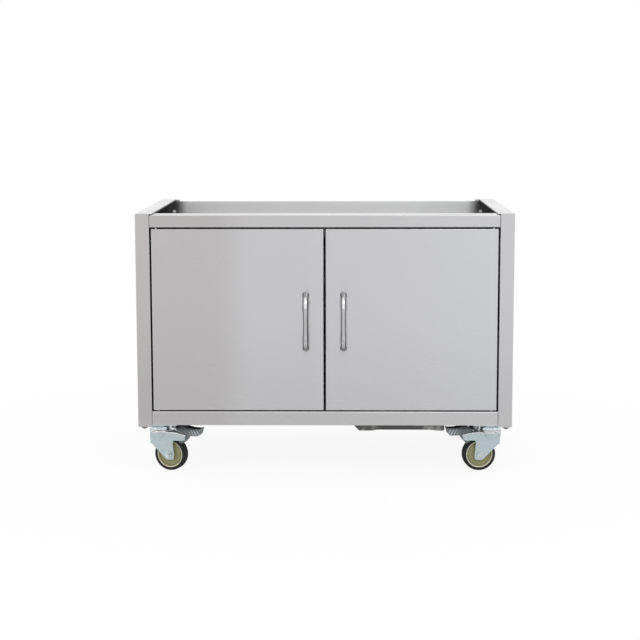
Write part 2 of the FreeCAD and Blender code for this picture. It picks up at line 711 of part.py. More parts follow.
def tank_clamp_screw():
    """Wing screw, screwed right in, that bears on the bottle's foot ring."""
    tip = well_wall_radius() - CLAMP_REACH_IN
    seat = well_wall_radius() + CLAMP_NUT_HEIGHT + THRUST_GAP
    hub = clamp_rod(WING_HUB_RADIUS, seat, seat + WING_DEPTH / 2)
    span, root = WING_SPAN / 2, WING_HUB_RADIUS - 1
    low, shoulder, dip, high = seat + 2, seat + WING_DEPTH * 0.7, seat + WING_DEPTH * 0.75, seat + WING_DEPTH
    corners = [(low, -root, 1), (low, root, 1), (shoulder, span, 4), (high, span, 4), (dip, 0, 5),
               (high, -span, 4), (shoulder, -span, 4)]
    wing = prism(corners, "XZ", -WING_THICK / 2, WING_THICK / 2)
    wing.translate(FreeCAD.Vector(0, 0, -CLAMP_BELOW_FLOOR))
    wing.rotate(FreeCAD.Vector(0, 0, 0), FreeCAD.Vector(0, 0, 1), CLAMP_ANGLE)
    screw = clamp_rod(CLAMP_RADIUS, tip, seat + 1).fuse([hub, wing])
    return moved(screw, WELL_X, WELL_Y, FLOOR_TOP_Z)


# Doors, built for the left side and mirrored

def door_skin():
    """Outer pan of a door: face and four turned edges, open at the back."""
    bend = BEND + SHEET
    outer = box(-DOOR_OUTER_X, FRONT_Y, DOOR_BOTTOM_Z, -DOOR_INNER_X, DOOR_BACK_Y, DOOR_TOP_Z)
    outer = outer.makeFillet(bend, edges_on_y(outer, FRONT_Y))
    inner = box(-DOOR_OUTER_X + SHEET, FRONT_Y + SHEET, DOOR_BOTTOM_Z + SHEET,
                -DOOR_INNER_X - SHEET, DOOR_BACK_Y + SHEET, DOOR_TOP_Z - SHEET)
    inner = inner.makeFillet(BEND, edges_on_y(inner, FRONT_Y + SHEET))
    return drill(outer.cut(inner), pin_holes() + handle_screw_holes())


def door_liner():
    """Inner pan that closes the door's back, its edges turned towards the face."""
    gap = SHEET + LINER_FIT
    front = DOOR_BACK_Y - LINER_FLANGE
    outer = box(-DOOR_OUTER_X + gap, front, DOOR_BOTTOM_Z + gap,
                -DOOR_INNER_X - gap, DOOR_BACK_Y, DOOR_TOP_Z - gap)
    outer = outer.makeFillet(BEND + SHEET, edges_on_y(outer, DOOR_BACK_Y))
    wall = gap + SHEET
    inner = box(-DOOR_OUTER_X + wall, front - SHEET, DOOR_BOTTOM_Z + wall, -DOOR_INNER_X - wall,
                DOOR_BACK_Y - SHEET, DOOR_TOP_Z - wall)
    inner = inner.makeFillet(BEND, edges_on_y(inner, DOOR_BACK_Y - SHEET))
    return drill(outer.cut(inner), pin_holes())


def edges_on_y(shape, y):
    """Edges that lie wholly at one Y."""
    return [e for e in shape.Edges if abs(e.BoundBox.YMin - y) < 1e-6 and abs(e.BoundBox.YMax - y) < 1e-6]


def pin_holes():
    """Cutter for both pivot pins of the left door."""
    radius = PIVOT_RADIUS + PIVOT_CLEARANCE
    low, high = DOOR_BOTTOM_Z - SHEET, DOOR_TOP_Z + SHEET
    return [rod(radius, (-PIVOT_X, PIVOT_Y, low), (-PIVOT_X, PIVOT_Y, high))]


def door_pivot_pins():
    """Top and bottom pins of a door. The bottom one has the collar that the door rests on."""
    inside = 2 * SHEET + LINER_FIT
    top_in, bottom_in = DOOR_TOP_Z - inside, DOOR_BOTTOM_Z + inside
    top_end = TOP_RAIL_Z + PIVOT_ENGAGEMENT
    bottom_end = BOTTOM_RAIL_Z - PIVOT_ENGAGEMENT
    collar = BOTTOM_RAIL_Z + BUSH_FLANGE + THRUST_GAP
    edge = 0.5
    head_low = top_in - PIVOT_HEAD
    top = turned([(0, head_low), (PIVOT_HEAD_RADIUS, head_low, edge), (PIVOT_HEAD_RADIUS, top_in),
                  (PIVOT_RADIUS, top_in), (PIVOT_RADIUS, top_end, edge), (0, top_end)])
    bottom = turned([(0, bottom_end), (PIVOT_RADIUS, bottom_end, edge), (PIVOT_RADIUS, collar),
                     (BUSH_RADIUS, collar), (BUSH_RADIUS, DOOR_BOTTOM_Z), (PIVOT_RADIUS, DOOR_BOTTOM_Z),
                     (PIVOT_RADIUS, bottom_in),
                     (PIVOT_HEAD_RADIUS, bottom_in), (PIVOT_HEAD_RADIUS, bottom_in + PIVOT_HEAD, edge),
                     (0, bottom_in + PIVOT_HEAD)])
    return moved(Part.makeCompound([top, bottom]), -PIVOT_X, PIVOT_Y, 0)


def handle_ends():
    """Heights of the two feet of a handle."""
    return [HANDLE_Z + HANDLE_CENTRES / 2, HANDLE_Z - HANDLE_CENTRES / 2]


def handle_foot():
    """Upper foot casting: collar on the door, bend, and the socket that takes the tube."""
    foot_z = HANDLE_CENTRES / 2
    joint_z = HANDLE_TUBE_SHOWN / 2
    straight = HANDLE_STANDOFF - HANDLE_BEND
    swing = HANDLE_BEND * math.sqrt(0.5)
    start = FreeCAD.Vector(0, -HANDLE_COLLAR / 2, foot_z)
    bend_start = FreeCAD.Vector(0, -straight, foot_z)
    bend_middle = FreeCAD.Vector(0, -straight - swing, foot_z - HANDLE_BEND + swing)
    bend_end = FreeCAD.Vector(0, -HANDLE_STANDOFF, foot_z - HANDLE_BEND)
    end = FreeCAD.Vector(0, -HANDLE_STANDOFF, joint_z)
    bend = Part.Arc(bend_start, bend_middle, bend_end).toShape()
    rise, run = Part.LineSegment(start, bend_start), Part.LineSegment(bend_end, end)
    path = Part.Wire([rise.toShape(), bend, run.toShape()])
    ring = Part.Wire(Part.makeCircle(HANDLE_CAST_RADIUS, start, FreeCAD.Vector(0, -1, 0)))
    arm = path.makePipeShell([ring], True, False)
    neck = HANDLE_COLLAR + HANDLE_COLLAR_TAPER
    collar = turned([(0, 0), (HANDLE_COLLAR_RADIUS, 0), (HANDLE_COLLAR_RADIUS, HANDLE_COLLAR, 1.0),
                     (HANDLE_CAST_RADIUS - 0.2, neck), (0, neck)])
    collar.rotate(FreeCAD.Vector(0, 0, 0), FreeCAD.Vector(1, 0, 0), 90)
    collar.translate(FreeCAD.Vector(0, 0, foot_z))
    foot = collar.fuse(arm)
    low, high = joint_z - 1, joint_z + HANDLE_SOCKET + THRUST_GAP
    socket = rod(HANDLE_TUBE_RADIUS + HANDLE_FIT, (0, -HANDLE_STANDOFF, low), (0, -HANDLE_STANDOFF, high))
    screw = rod(HANDLE_SCREW_RADIUS + HANDLE_FIT, (0, 1, foot_z), (0, -HANDLE_SCREW_DEPTH - 1, foot_z))
    return foot.cut(Part.makeCompound([socket, screw]))


def handle_feet():
    """Both foot castings of the left door's handle."""
    upper = handle_foot()
    lower = upper.mirror(FreeCAD.Vector(0, 0, 0), FreeCAD.Vector(0, 0, 1))
    return moved(Part.makeCompound([upper, lower]), -HANDLE_X, FRONT_Y, HANDLE_Z)


def handle_tube():
    """Tube between the two feet of the left door's handle."""
    half = HANDLE_TUBE_SHOWN / 2 + HANDLE_SOCKET
    bore = rod(HANDLE_TUBE_RADIUS - SHEET, (0, 0, -half - 1), (0, 0, half + 1))
    tube = rod(HANDLE_TUBE_RADIUS, (0, 0, -half), (0, 0, half)).cut(bore)
    return moved(tube, -HANDLE_X, FRONT_Y - HANDLE_STANDOFF, HANDLE_Z)


def handle_screw_holes():
    """Cutters for the handle's screws in the left door's face."""
    radius = HANDLE_SCREW_RADIUS + SCREW_CLEARANCE
    front, back = FRONT_Y - SHEET, FRONT_Y + 2 * SHEET
    return [rod(radius, (-HANDLE_X, front, z), (-HANDLE_X, back, z)) for z in handle_ends()]


def handle_screws():
    """Pan-head screws from inside the left door into the handle's feet."""
    seat = -SHEET
    profile = [(0, seat - HANDLE_SCREW_HEAD), (HANDLE_SCREW_HEAD_RADIUS, seat - HANDLE_SCREW_HEAD, 1.2),
               (HANDLE_SCREW_HEAD_RADIUS, seat), (HANDLE_SCREW_RADIUS, seat),
               (HANDLE_SCREW_RADIUS, HANDLE_SCREW_DEPTH, 0.5), (0, HANDLE_SCREW_DEPTH)]
    screw = turned(profile)
    screw.rotate(FreeCAD.Vector(0, 0, 0), FreeCAD.Vector(1, 0, 0), 90)
    return Part.makeCompound([moved(screw, -HANDLE_X, FRONT_Y, z) for z in handle_ends()])


def catch_plate():
    """Steel strike plate on the left door's liner, opposite its magnet."""
    x0, x1 = -MAGNET_FROM_CENTRE - STRIKE_WIDTH / 2, -MAGNET_FROM_CENTRE + STRIKE_WIDTH / 2
    z0 = CATCH_Z + CATCH_HEIGHT / 2 - STRIKE_HEIGHT / 2
    z1, corner = z0 + STRIKE_HEIGHT, STRIKE_CORNER
    corners = [(x0, z0, corner), (x1, z0, corner), (x1, z1, corner), (x0, z1, corner)]
    return prism(corners, "XZ", DOOR_BACK_Y, DOOR_BACK_Y + STRIKE_THICK)


# Small parts of the cabinet

def pivot_bushings():
    """Flanged bushes of the four door pivots."""
    bore = PIVOT_RADIUS + PIVOT_CLEARANCE
    edge = 0.4
    bush = turned([(bore, -BUSH_FLANGE), (BUSH_FLANGE_RADIUS, -BUSH_FLANGE, edge), (BUSH_FLANGE_RADIUS, 0),
                   (BUSH_RADIUS, 0), (BUSH_RADIUS, BUSH_BARREL, edge), (bore, BUSH_BARREL)])
    upside_down = bush.mirror(FreeCAD.Vector(0, 0, 0), FreeCAD.Vector(0, 0, 1))
    bushes = []
    for side in (-1, 1):
        bushes.append(moved(bush, side * PIVOT_X, PIVOT_Y, TOP_RAIL_Z))
        bushes.append(moved(upside_down, side * PIVOT_X, PIVOT_Y, BOTTOM_RAIL_Z))
    return Part.makeCompound(bushes)


def magnet_pockets(extra):
    """Blocks in the catch that hold the magnets, larger by a gap all round."""
    blocks = []
    middle = CATCH_Z + CATCH_HEIGHT / 2
    half_x, half_z = MAGNET_WIDTH / 2 + extra, MAGNET_HEIGHT / 2 + extra
    for x in (-MAGNET_FROM_CENTRE, MAGNET_FROM_CENTRE):
        blocks.append(box(x - half_x, CATCH_Y, middle - half_z,
                          x + half_x, CATCH_Y + MAGNET_DEPTH + extra, middle + half_z))
    return blocks


def catch_housing():
    """Housing of the magnetic catch, on the bottom rail behind the meeting edges."""
    half = CATCH_WIDTH / 2
    top = CATCH_Z + CATCH_HEIGHT
    corners = [(-half, CATCH_Z), (half, CATCH_Z), (half, top, CATCH_CORNER), (-half, top, CATCH_CORNER)]
    body = prism(corners, "XZ", CATCH_Y, CATCH_Y + CATCH_DEPTH)
    return drill(body, magnet_pockets(HANDLE_FIT))


def catch_magnets():
    """Two magnets, flush with the front of their housing."""
    return Part.makeCompound(magnet_pockets(0))


def screw_and_nut(head, grip_end):
    """Pan-head screw along +Y from its seat at head, with its nut seated at grip_end."""
    tip = grip_end + SCREW_NUT + SCREW_TIP
    low = head - SCREW_HEAD
    screw = turned([(0, low), (SCREW_HEAD_RADIUS, low, 1.2), (SCREW_HEAD_RADIUS, head),
                    (SCREW_RADIUS, head), (SCREW_RADIUS, tip), (0, tip)])
    nut = hexagon(SCREW_NUT_FLATS, (0, 0, grip_end), (0, 0, grip_end + SCREW_NUT))
    nut = nut.cut(rod(SCREW_RADIUS + HANDLE_FIT, (0, 0, grip_end - 1), (0, 0, tip)))
    pair = Part.makeCompound([screw, nut])
    pair.rotate(FreeCAD.Vector(0, 0, 0), FreeCAD.Vector(1, 0, 0), -90)
    return pair


def rail_screws():
    """Screws and nuts that join the rails' tabs to the posts' returns."""
    pair = screw_and_nut(0, 2 * SHEET + WELD_SEAM)
    pair.rotate(FreeCAD.Vector(0, 0, 0), FreeCAD.Vector(0, 0, 1), 90)
    left = [moved(pair, -RAIL_END_X + SHEET, y, z) for y, z in rail_screw_spots()]
    return Part.makeCompound(left + [mirrored(s) for s in left])


def back_panel_bolts():
    """Screws and nuts that join the back panel to the side panels, heads outside."""
    pair = screw_and_nut(0, 2 * SHEET)
    pair.rotate(FreeCAD.Vector(0, 0, 0), FreeCAD.Vector(0, 0, 1), 180)
    return Part.makeCompound([moved(pair, x, BACK_Y, z) for x, z in back_bolt_spots()])


def tray_screws():
    """Screws and nuts that join the tray to the top rail, heads in the recess."""
    pair = screw_and_nut(0, 2 * SHEET)
    pair.rotate(FreeCAD.Vector(0, 0, 0), FreeCAD.Vector(0, 0, 1), 180)
    y = FRONT_Y + TOP_RAIL_FLANGE + SHEET
    return Part.makeCompound([moved(pair, x, y, z) for x, z in tray_screw_spots()])


def caster_bolts():
    """Hexagon bolts of the caster plates, heads inside the cabinet."""
    end = BASE_Z - PLATE_THICK - BOLT_NUT - BOLT_TIP
    head = hexagon(BOLT_FLATS, (0, 0, FLOOR_TOP_Z), (0, 0, FLOOR_TOP_Z + BOLT_HEAD))
    bolt = head.fuse(rod(BOLT_RADIUS, (0, 0, end), (0, 0, FLOOR_TOP_Z + SHEET)))
    return Part.makeCompound([moved(bolt, x, y, 0) for x, y in caster_bolt_spots()])


def caster_nuts():
    """Nuts of the caster plates, under the plates."""
    top = BASE_Z - PLATE_THICK
    nut = hexagon(BOLT_FLATS, (0, 0, top - BOLT_NUT), (0, 0, top))
    nut = nut.cut(rod(BOLT_RADIUS + HANDLE_FIT, (0, 0, top - BOLT_NUT - 1), (0, 0, top + 1)))
    return Part.makeCompound([moved(nut, x, y, 0) for x, y in caster_bolt_spots()])


# Casters, drawn with the swivel axis on Z, the plate's top at Z = 0 and the trail along +X

def caster_plate():
    """Mounting plate with the pressed cup that covers the balls."""
    half_x, half_y = PLATE_LENGTH / 2, PLATE_WIDTH / 2
    plate = prism([(-half_x, -half_y, PLATE_CORNER), (half_x, -half_y, PLATE_CORNER),
                   (half_x, half_y, PLATE_CORNER), (-half_x, half_y, PLATE_CORNER)], "XY", -PLATE_THICK, 0)
    bore = KING_PIN_RADIUS + KING_PIN_CLEARANCE
    inner = CUP_RADIUS - CUP_WALL
    roof = -BALL_DROP + BALL_RADIUS + BALL_GAP
    seam = -PLATE_THICK / 2
    cup = turned([(bore, seam), (CUP_NECK_RADIUS, seam), (CUP_NECK_RADIUS, -CUP_SHOULDER + 1, 1.5),
                  (CUP_RADIUS, -CUP_SHOULDER - 1, CUP_ROUNDING), (CUP_RADIUS, -CUP_BOTTOM, 1.5),
                  (inner, -CUP_BOTTOM, 0.8),
                  (inner, roof, 1.0), (bore, roof)])
    holes = []
    for sx in (-1, 1):
        for sy in (-1, 1):
            x, y = sx * PLATE_HOLES_X / 2, sy * PLATE_HOLES_Y / 2
            holes.append(rod(BOLT_RADIUS + BOLT_CLEARANCE, (x, y, -PLATE_THICK - 1), (x, y, 1)))
    holes.append(rod(bore, (0, 0, -CUP_BOTTOM), (0, 0, 1)))
    return drill(plate.fuse(cup), holes)


def king_pin():
    """Rivet that holds the yoke up against the balls."""
    head_top = -YOKE_TOP - YOKE_SHEET - BALL_GAP
    low = head_top - KING_PIN_HEAD
    return turned([(0, low), (KING_PIN_HEAD_RADIUS, low, 1.2), (KING_PIN_HEAD_RADIUS, head_top),
                   (KING_PIN_RADIUS, head_top), (KING_PIN_RADIUS, 0, 0.5), (0, 0)])


def swivel_balls():
    """Ring of balls between the cup and the yoke's seat."""
    balls = []
    for k in range(BALL_COUNT):
        angle = 2 * math.pi * (k + 0.5) / BALL_COUNT
        centre = FreeCAD.Vector(BALL_CIRCLE * math.cos(angle), BALL_CIRCLE * math.sin(angle), -BALL_DROP)
        balls.append(Part.makeSphere(BALL_RADIUS, centre))
    return Part.makeCompound(balls)


def yoke_side():
    """Corners of the yoke seen square to the axle, without the crown's rounding."""
    tip_top = -YOKE_TOP - ARM_TIP_DROP
    under = -YOKE_TOP - ARM_DROP
    back = WHEEL_TRAIL + LEG_BACK
    foot = -AXLE_DROP - LEG_FOOT
    cheek = -YOKE_TOP - CHEEK_DROP
    return [(-CROWN_RADIUS, -YOKE_TOP), (ARM_FLAT, -YOKE_TOP, ARM_BEND), (ARM_REACH, tip_top, ARM_TIP_CORNER),
            (ARM_REACH - ARM_TIP_RAKE, tip_top - ARM_TIP_HEIGHT, ARM_TIP_CORNER),
            (ARM_REACH - ARM_TOE_LENGTH, under, ARM_TIP_CORNER * 2), (back - LEG_LEAN, under, LEG_THROAT),
            (back, -AXLE_DROP), (back, foot, LEG_TOE), (WHEEL_TRAIL - LEG_TOE, foot, LEG_TOE),
            (-CROWN_RADIUS + CHEEK_LENGTH, cheek, CHEEK_CORNER), (-CROWN_RADIUS, cheek, CHEEK_TIP)]


def yoke_block():
    """The yoke's side view drawn out over its whole width, with the folds along its top rounded."""
    block = prism(yoke_side(), "XZ", -YOKE_OUTER, YOKE_OUTER)
    lowest = -YOKE_TOP - ARM_TIP_DROP
    folds = []
    for edge in block.Edges:
        bounds = edge.BoundBox
        lengthwise = bounds.YLength < BEND and bounds.XLength > ARM_TIP_CORNER
        if lengthwise and bounds.ZMin > lowest - ARM_TIP_CORNER:
            folds.append(edge)
    return block.makeFillet(YOKE_FOLD, folds)


def crown(inset):
    """Round cap of the yoke, drawn in below to the width across its cheeks."""
    radius, side = CROWN_RADIUS - inset, YOKE_OUTER - inset
    top, low = -YOKE_TOP - inset, -YOKE_TOP - CROWN_SKIRT
    return turned([(0, top), (radius, top, CROWN_EDGE), (radius, top - CROWN_WALL, 2.5), (side, low, 6),
                   (side, low - CROWN_OVERLAP), (0, low - CROWN_OVERLAP)])


def crown_plan(inset, length):
    """Upright prism: round in front about the swivel axis, straight behind, as wide as the cheeks."""
    radius, side = CROWN_RADIUS - inset, YOKE_OUTER - inset
    round_front = rod(radius, (0, 0, -CASTER_HEIGHT), (0, 0, 0))
    straight = box(0, -side, -CASTER_HEIGHT, length, side, 0)
    return round_front.common(box(-radius, -side, -CASTER_HEIGHT, 0, side, 0)).fuse(straight)


def yoke_seat():
    """Raised seat on the crown that the balls run on."""
    bottom = -BALL_DROP - BALL_RADIUS - BALL_GAP
    top = -BALL_DROP + BALL_RADIUS
    reach = BALL_CIRCLE + BALL_RADIUS
    return turned([(0, top), (SEAT_RADIUS, top), (SEAT_RADIUS, bottom), (reach, bottom),
                   (reach + 1, -YOKE_TOP - 1), (0, -YOKE_TOP - 1)])


def front_arch():
    """Cutter for the arch under the crown's skirt, between the cheeks."""
    low, top, half = -CASTER_HEIGHT, -YOKE_TOP - ARCH_DROP, YOKE_INNER
    corners = [(-half, low), (half, low), (half, top, ARCH_CORNER), (-half, top, ARCH_CORNER)]
    return prism(corners, "YZ", -2 * CROWN_RADIUS, WHEEL_TRAIL)


def caster_yoke(braked):
    """Pressed yoke: crown with the ball seat, two cheeks and legs, and arms over the wheel."""
    outside = yoke_block().common(crown_plan(0, 2 * ARM_REACH)).fuse([crown(0), yoke_seat()])
    roof, wide = -YOKE_TOP - YOKE_SHEET, 2 * CROWN_RADIUS
    hollow = box(-wide, -wide, -CASTER_HEIGHT - SHEET, 2 * ARM_REACH, wide, roof)
    hollow = hollow.common(crown_plan(YOKE_SHEET, 2 * ARM_REACH)).fuse(crown(YOKE_SHEET))
    yoke = outside.cut(hollow)
    tools = [rod(KING_PIN_RADIUS + KING_PIN_CLEARANCE, (0, 0, -CASTER_HEIGHT / 2), (0, 0, 1)),
             across_yoke(AXLE_RADIUS + HANDLE_FIT, WHEEL_TRAIL, -AXLE_DROP, wide), front_arch()]
    reach = BRAKE_ROOF_REACH if braked else ROOF_REACH
    tools.append(box(reach, -YOKE_INNER, -CASTER_HEIGHT, 2 * ARM_REACH, YOKE_INNER, 0))
    if braked:
        tools.append(across_yoke(PEDAL_PIN_RADIUS + HANDLE_FIT, PEDAL_PIVOT_X, PEDAL_PIVOT_Z, wide))
        rivet_hole = SPRING_RIVET_RADIUS + HANDLE_FIT
        tools.append(rod(rivet_hole, (SPRING_RIVET_X, 0, roof - SHEET), (SPRING_RIVET_X, 0, 0)))
    return yoke.cut(Part.makeCompound(tools)).removeSplitter()


def across_yoke(radius, x, z, half):
    """Cylinder square to the yoke's sides at one point of its side view."""
    return rod(radius, (x, -half, z), (x, half, z))


def caster_axle():
    """Axle bolt with its sleeve and nut."""
    half = YOKE_OUTER
    head = hexagon(BOLT_FLATS, (0, 0, half), (0, 0, half + BOLT_HEAD))
    end = -half - BOLT_NUT - BOLT_TIP
    shank = rod(AXLE_RADIUS, (0, 0, end), (0, 0, half + SHEET))
    sleeve = rod(AXLE_SLEEVE_RADIUS, (0, 0, -YOKE_INNER), (0, 0, YOKE_INNER))
    sleeve = sleeve.cut(rod(AXLE_RADIUS + HANDLE_FIT, (0, 0, -half), (0, 0, half)))
    nut = hexagon(BOLT_FLATS, (0, 0, -half - BOLT_NUT), (0, 0, -half))
    nut = nut.cut(rod(AXLE_RADIUS + HANDLE_FIT, (0, 0, -half - BOLT_NUT - 1), (0, 0, 0)))
    axle = Part.makeCompound([head.fuse(shank), sleeve, nut])
    axle.rotate(FreeCAD.Vector(0, 0, 0), FreeCAD.Vector(1, 0, 0), -90)
    return moved(axle, WHEEL_TRAIL, 0, -AXLE_DROP)


def on_axle(shape):
    """A turned wheel part, laid on the axle."""
    shape.rotate(FreeCAD.Vector(0, 0, 0), FreeCAD.Vector(1, 0, 0), 90)
    return moved(shape, WHEEL_TRAIL, 0, -AXLE_DROP)


def caster_hub():
    """Moulded wheel centre: boss, web and rim with its raised lip."""
    rim, web, boss = RIM_WIDTH / 2, WEB_WIDTH / 2, YOKE_INNER - HUB_END_GAP
    bore = AXLE_SLEEVE_RADIUS + AXLE_CLEARANCE
    lip = RIM_RADIUS - RIM_LIP
    half = [(bore, boss), (HUB_RADIUS - 1.5, boss, 1), (HUB_RADIUS, web, 2), (lip - 1, web, 2),
            (lip, rim, 0.8), (RIM_RADIUS, rim)]
    other = [(p[0], -p[1]) + tuple(p[2:]) for p in reversed(half)]
    return on_axle(turned(half + other))


def caster_tyre():
    """Tyre with a flat tread and round shoulders."""
    half, side = TREAD_WIDTH / 2, RIM_WIDTH / 2
    inner = RIM_RADIUS + TYRE_FIT
    bead = RIM_RADIUS + TYRE_BEAD
    profile = [(inner, -side), (bead, -half), (WHEEL_RADIUS, -half, TREAD_SHOULDER),
               (WHEEL_RADIUS, half, TREAD_SHOULDER), (bead, half), (inner, side)]
    return on_axle(turned(profile))


def pressed_to_rest(x, z):
    """Where a point of the pressed-down pedal lies when the pedal is up."""
    swing = math.radians(PEDAL_TRAVEL)
    dx, dz = x - PEDAL_PIVOT_X, z - PEDAL_PIVOT_Z
    return (PEDAL_PIVOT_X + dx * math.cos(swing) - dz * math.sin(swing),
            PEDAL_PIVOT_Z + dx * math.sin(swing) + dz * math.cos(swing))


def brake_face():
    """Ends of the pedal's brake face, which lies along the tread when the pedal is down."""
    angle = math.radians(BRAKE_ANGLE)
    radius = WHEEL_RADIUS + BRAKE_CLEARANCE
    x, z = WHEEL_TRAIL + radius * math.cos(angle), -AXLE_DROP + radius * math.sin(angle)
    along_x, along_z = -math.sin(angle), math.cos(angle)
    heel = pressed_to_rest(x + BRAKE_HEEL * along_x, z + BRAKE_HEEL * along_z)
    toe = pressed_to_rest(x - BRAKE_TOE * along_x, z - BRAKE_TOE * along_z)
    return heel, toe


def pedal_side():
    """Corners of the pedal's side wall, from the brake face round to its toe and back."""
    heel, toe = brake_face()
    sag = -PEDAL_TOP - PEDAL_SAG
    crest_start = PEDAL_REAR + PEDAL_CREST_RISE
    crest_end = crest_start + PEDAL_CREST_LENGTH
    low = PEDAL_REACH - PEDAL_TOE_SLOPE
    neck = ARM_REACH + PEDAL_ARM_GAP
    return [toe + (2,), heel + (2,), (PEDAL_REAR + 1, PEDAL_PIVOT_Z - PEDAL_REAR_LOW, 4),
            (PEDAL_REAR, -PEDAL_REAR_TOP, 3), (crest_start, -PEDAL_CREST, 4), (crest_end, -PEDAL_CREST, 12),
            (crest_end + PEDAL_SAG_LENGTH, sag, 20), (low, sag, 4), (PEDAL_REACH, -PEDAL_TOP, 1.5),
            (PEDAL_REACH - 1, -PEDAL_TOP - PEDAL_TOE_LIP, 1.5), (low, -PEDAL_BOTTOM, 4),
            (neck, -PEDAL_BOTTOM, 3), (ARM_REACH - PEDAL_NECK_BACK, -PEDAL_NECK_DROP, 4)]


def offset_line(a, b, distance):
    """Line from a to b, shifted to its left."""
    length = math.hypot(b[0] - a[0], b[1] - a[1])
    nx, nz = -(b[1] - a[1]) / length * distance, (b[0] - a[0]) / length * distance
    return (a[0] + nx, a[1] + nz), (b[0] + nx, b[1] + nz)


def crossing(first, second):
    """Point where two lines, each given by two points, cross."""
    (x1, y1), (x2, y2) = first
    (x3, y3), (x4, y4) = second
    det = (x1 - x2) * (y3 - y4) - (y1 - y2) * (x3 - x4)
    a, b = x1 * y2 - y1 * x2, x3 * y4 - y3 * x4
    return (a * (x3 - x4) - b * (x1 - x2)) / det, (a * (y3 - y4) - b * (y1 - y2)) / det


def pedal_web():
    """Corners of the strip of metal that joins the pedal's two walls, heel to toe tip."""
    side = pedal_side()
    path = [side[1], side[0], side[12], side[11], side[10], side[9], side[8]]
    radii = [2, 4, 3, 4, 1.5]
    lines = [offset_line(a[:2], b[:2], PEDAL_SHEET) for a, b in zip(path, path[1:])]
    inner = [lines[0][0]] + [crossing(a, b) for a, b in zip(lines, lines[1:])] + [lines[-1][1]]
    outer = [path[0][:2]] + [p[:2] + (r,) for p, r in zip(path[1:-1], radii)] + [path[-1][:2]]
    turned_in = [p + (max(r - PEDAL_SHEET, 0.5),) for p, r in zip(inner[1:-1], radii)]
    return outer + [inner[-1]] + turned_in[::-1] + [inner[0]]


def brake_pedal():
    """Pressed brake pedal: two walls, the web between them, and ribs on the toe."""
    inner = PEDAL_HALF - PEDAL_SHEET
    walls = [prism(pedal_side(), "XZ", -PEDAL_HALF, -inner), prism(pedal_side(), "XZ", inner, PEDAL_HALF)]
    web = prism(pedal_web(), "XZ", -inner, inner)
    top, low = pedal_side()[9], pedal_side()[10]
    ribs = []
    for k in range(PEDAL_RIBS):
        y = (k - (PEDAL_RIBS - 1) / 2) * PEDAL_RIB_PITCH
        ribs.append(rod(PEDAL_RIB_RADIUS, (top[0] - 1, y, top[1] - 2), (low[0] + 2, y, low[1] + 4)))
    pedal = walls[0].fuse([walls[1], web] + ribs)
    hole = across_yoke(PEDAL_PIN_RADIUS + PEDAL_PIN_CLEARANCE, PEDAL_PIVOT_X, PEDAL_PIVOT_Z, YOKE_OUTER)
    return pedal.cut(hole).removeSplitter()


def brake_pin():
    """Pin that the pedal turns on, flush with the arms."""
    return across_yoke(PEDAL_PIN_RADIUS, PEDAL_PIVOT_X, PEDAL_PIVOT_Z, YOKE_OUTER)


def brake_spring():
    """Leaf spring riveted on the yoke's roof, which holds the pedal where it is put."""
    seat = -YOKE_TOP
    start, bend = SPRING_RIVET_X - SPRING_TAIL, BRAKE_ROOF_REACH + SPRING_BEND
    tip_x, tip_z = ARM_REACH + SPRING_TIP_OVER_ARM, -PEDAL_BOTTOM + PEDAL_SHEET + SPRING_TIP_GAP
    corners = [(start, seat), (bend, seat, 5), (tip_x, tip_z), (tip_x, tip_z + SPRING_THICK),
               (bend, seat + SPRING_THICK, 6), (start, seat + SPRING_THICK)]
    leaf = prism(corners, "XZ", -SPRING_WIDTH / 2, SPRING_WIDTH / 2)
    fit = SPRING_RIVET_RADIUS + HANDLE_FIT
    leaf = leaf.cut(rod(fit, (SPRING_RIVET_X, 0, seat - 1), (SPRING_RIVET_X, 0, 0)))
    low, top = seat - YOKE_SHEET, seat + SPRING_THICK
    head, radius = SPRING_RIVET_HEAD, SPRING_RIVET_HEAD_RADIUS
    rivet = turned([(0, low - head), (radius, low - head, 1.5), (radius, low), (SPRING_RIVET_RADIUS, low),
                    (SPRING_RIVET_RADIUS, top), (radius, top), (radius, top + head, 1.5), (0, top + head)])
    return Part.makeCompound([leaf, moved(rivet, SPRING_RIVET_X, 0, 0)])


def caster_part(shape, name, turn):
    """A caster piece at its own corner, turned to that caster's heading."""
    placed = shape.copy()
    if turn:
        placed.rotate(FreeCAD.Vector(0, 0, 0), FreeCAD.Vector(0, 0, 1), HEADINGS[name])
    x, y = CASTER_SPOTS[name]
    return moved(placed, x, y, CASTER_HEIGHT)


def casters():
    """Every node of the four casters."""
    parts = {}
    plate, pin, balls = caster_plate(), king_pin(), swivel_balls()
    axle, hub, tyre = caster_axle(), caster_hub(), caster_tyre()
    for name in CASTER_SPOTS:
        parts["caster_plate_" + name] = caster_part(plate, name, False)
        parts["caster_yoke_" + name] = caster_part(caster_yoke(name in BRAKED), name, True)
        parts["caster_axle_" + name] = caster_part(axle, name, True)
        parts["caster_hub_" + name] = caster_part(hub, name, True)
        parts["caster_tyre_" + name] = caster_part(tyre, name, True)
    parts["caster_king_pins"] = Part.makeCompound([caster_part(pin, name, False) for name in CASTER_SPOTS])
    parts["swivel_balls"] = Part.makeCompound([caster_part(balls, name, False) for name in CASTER_SPOTS])
    pedal, pedal_pin, spring = brake_pedal(), brake_pin(), brake_spring()
    for name in BRAKED:
        parts["brake_pedal_" + name] = caster_part(pedal, name, True)
        parts["brake_pin_" + name] = caster_part(pedal_pin, name, True)
        parts["brake_spring_" + name] = caster_part(spring, name, True)
    return parts


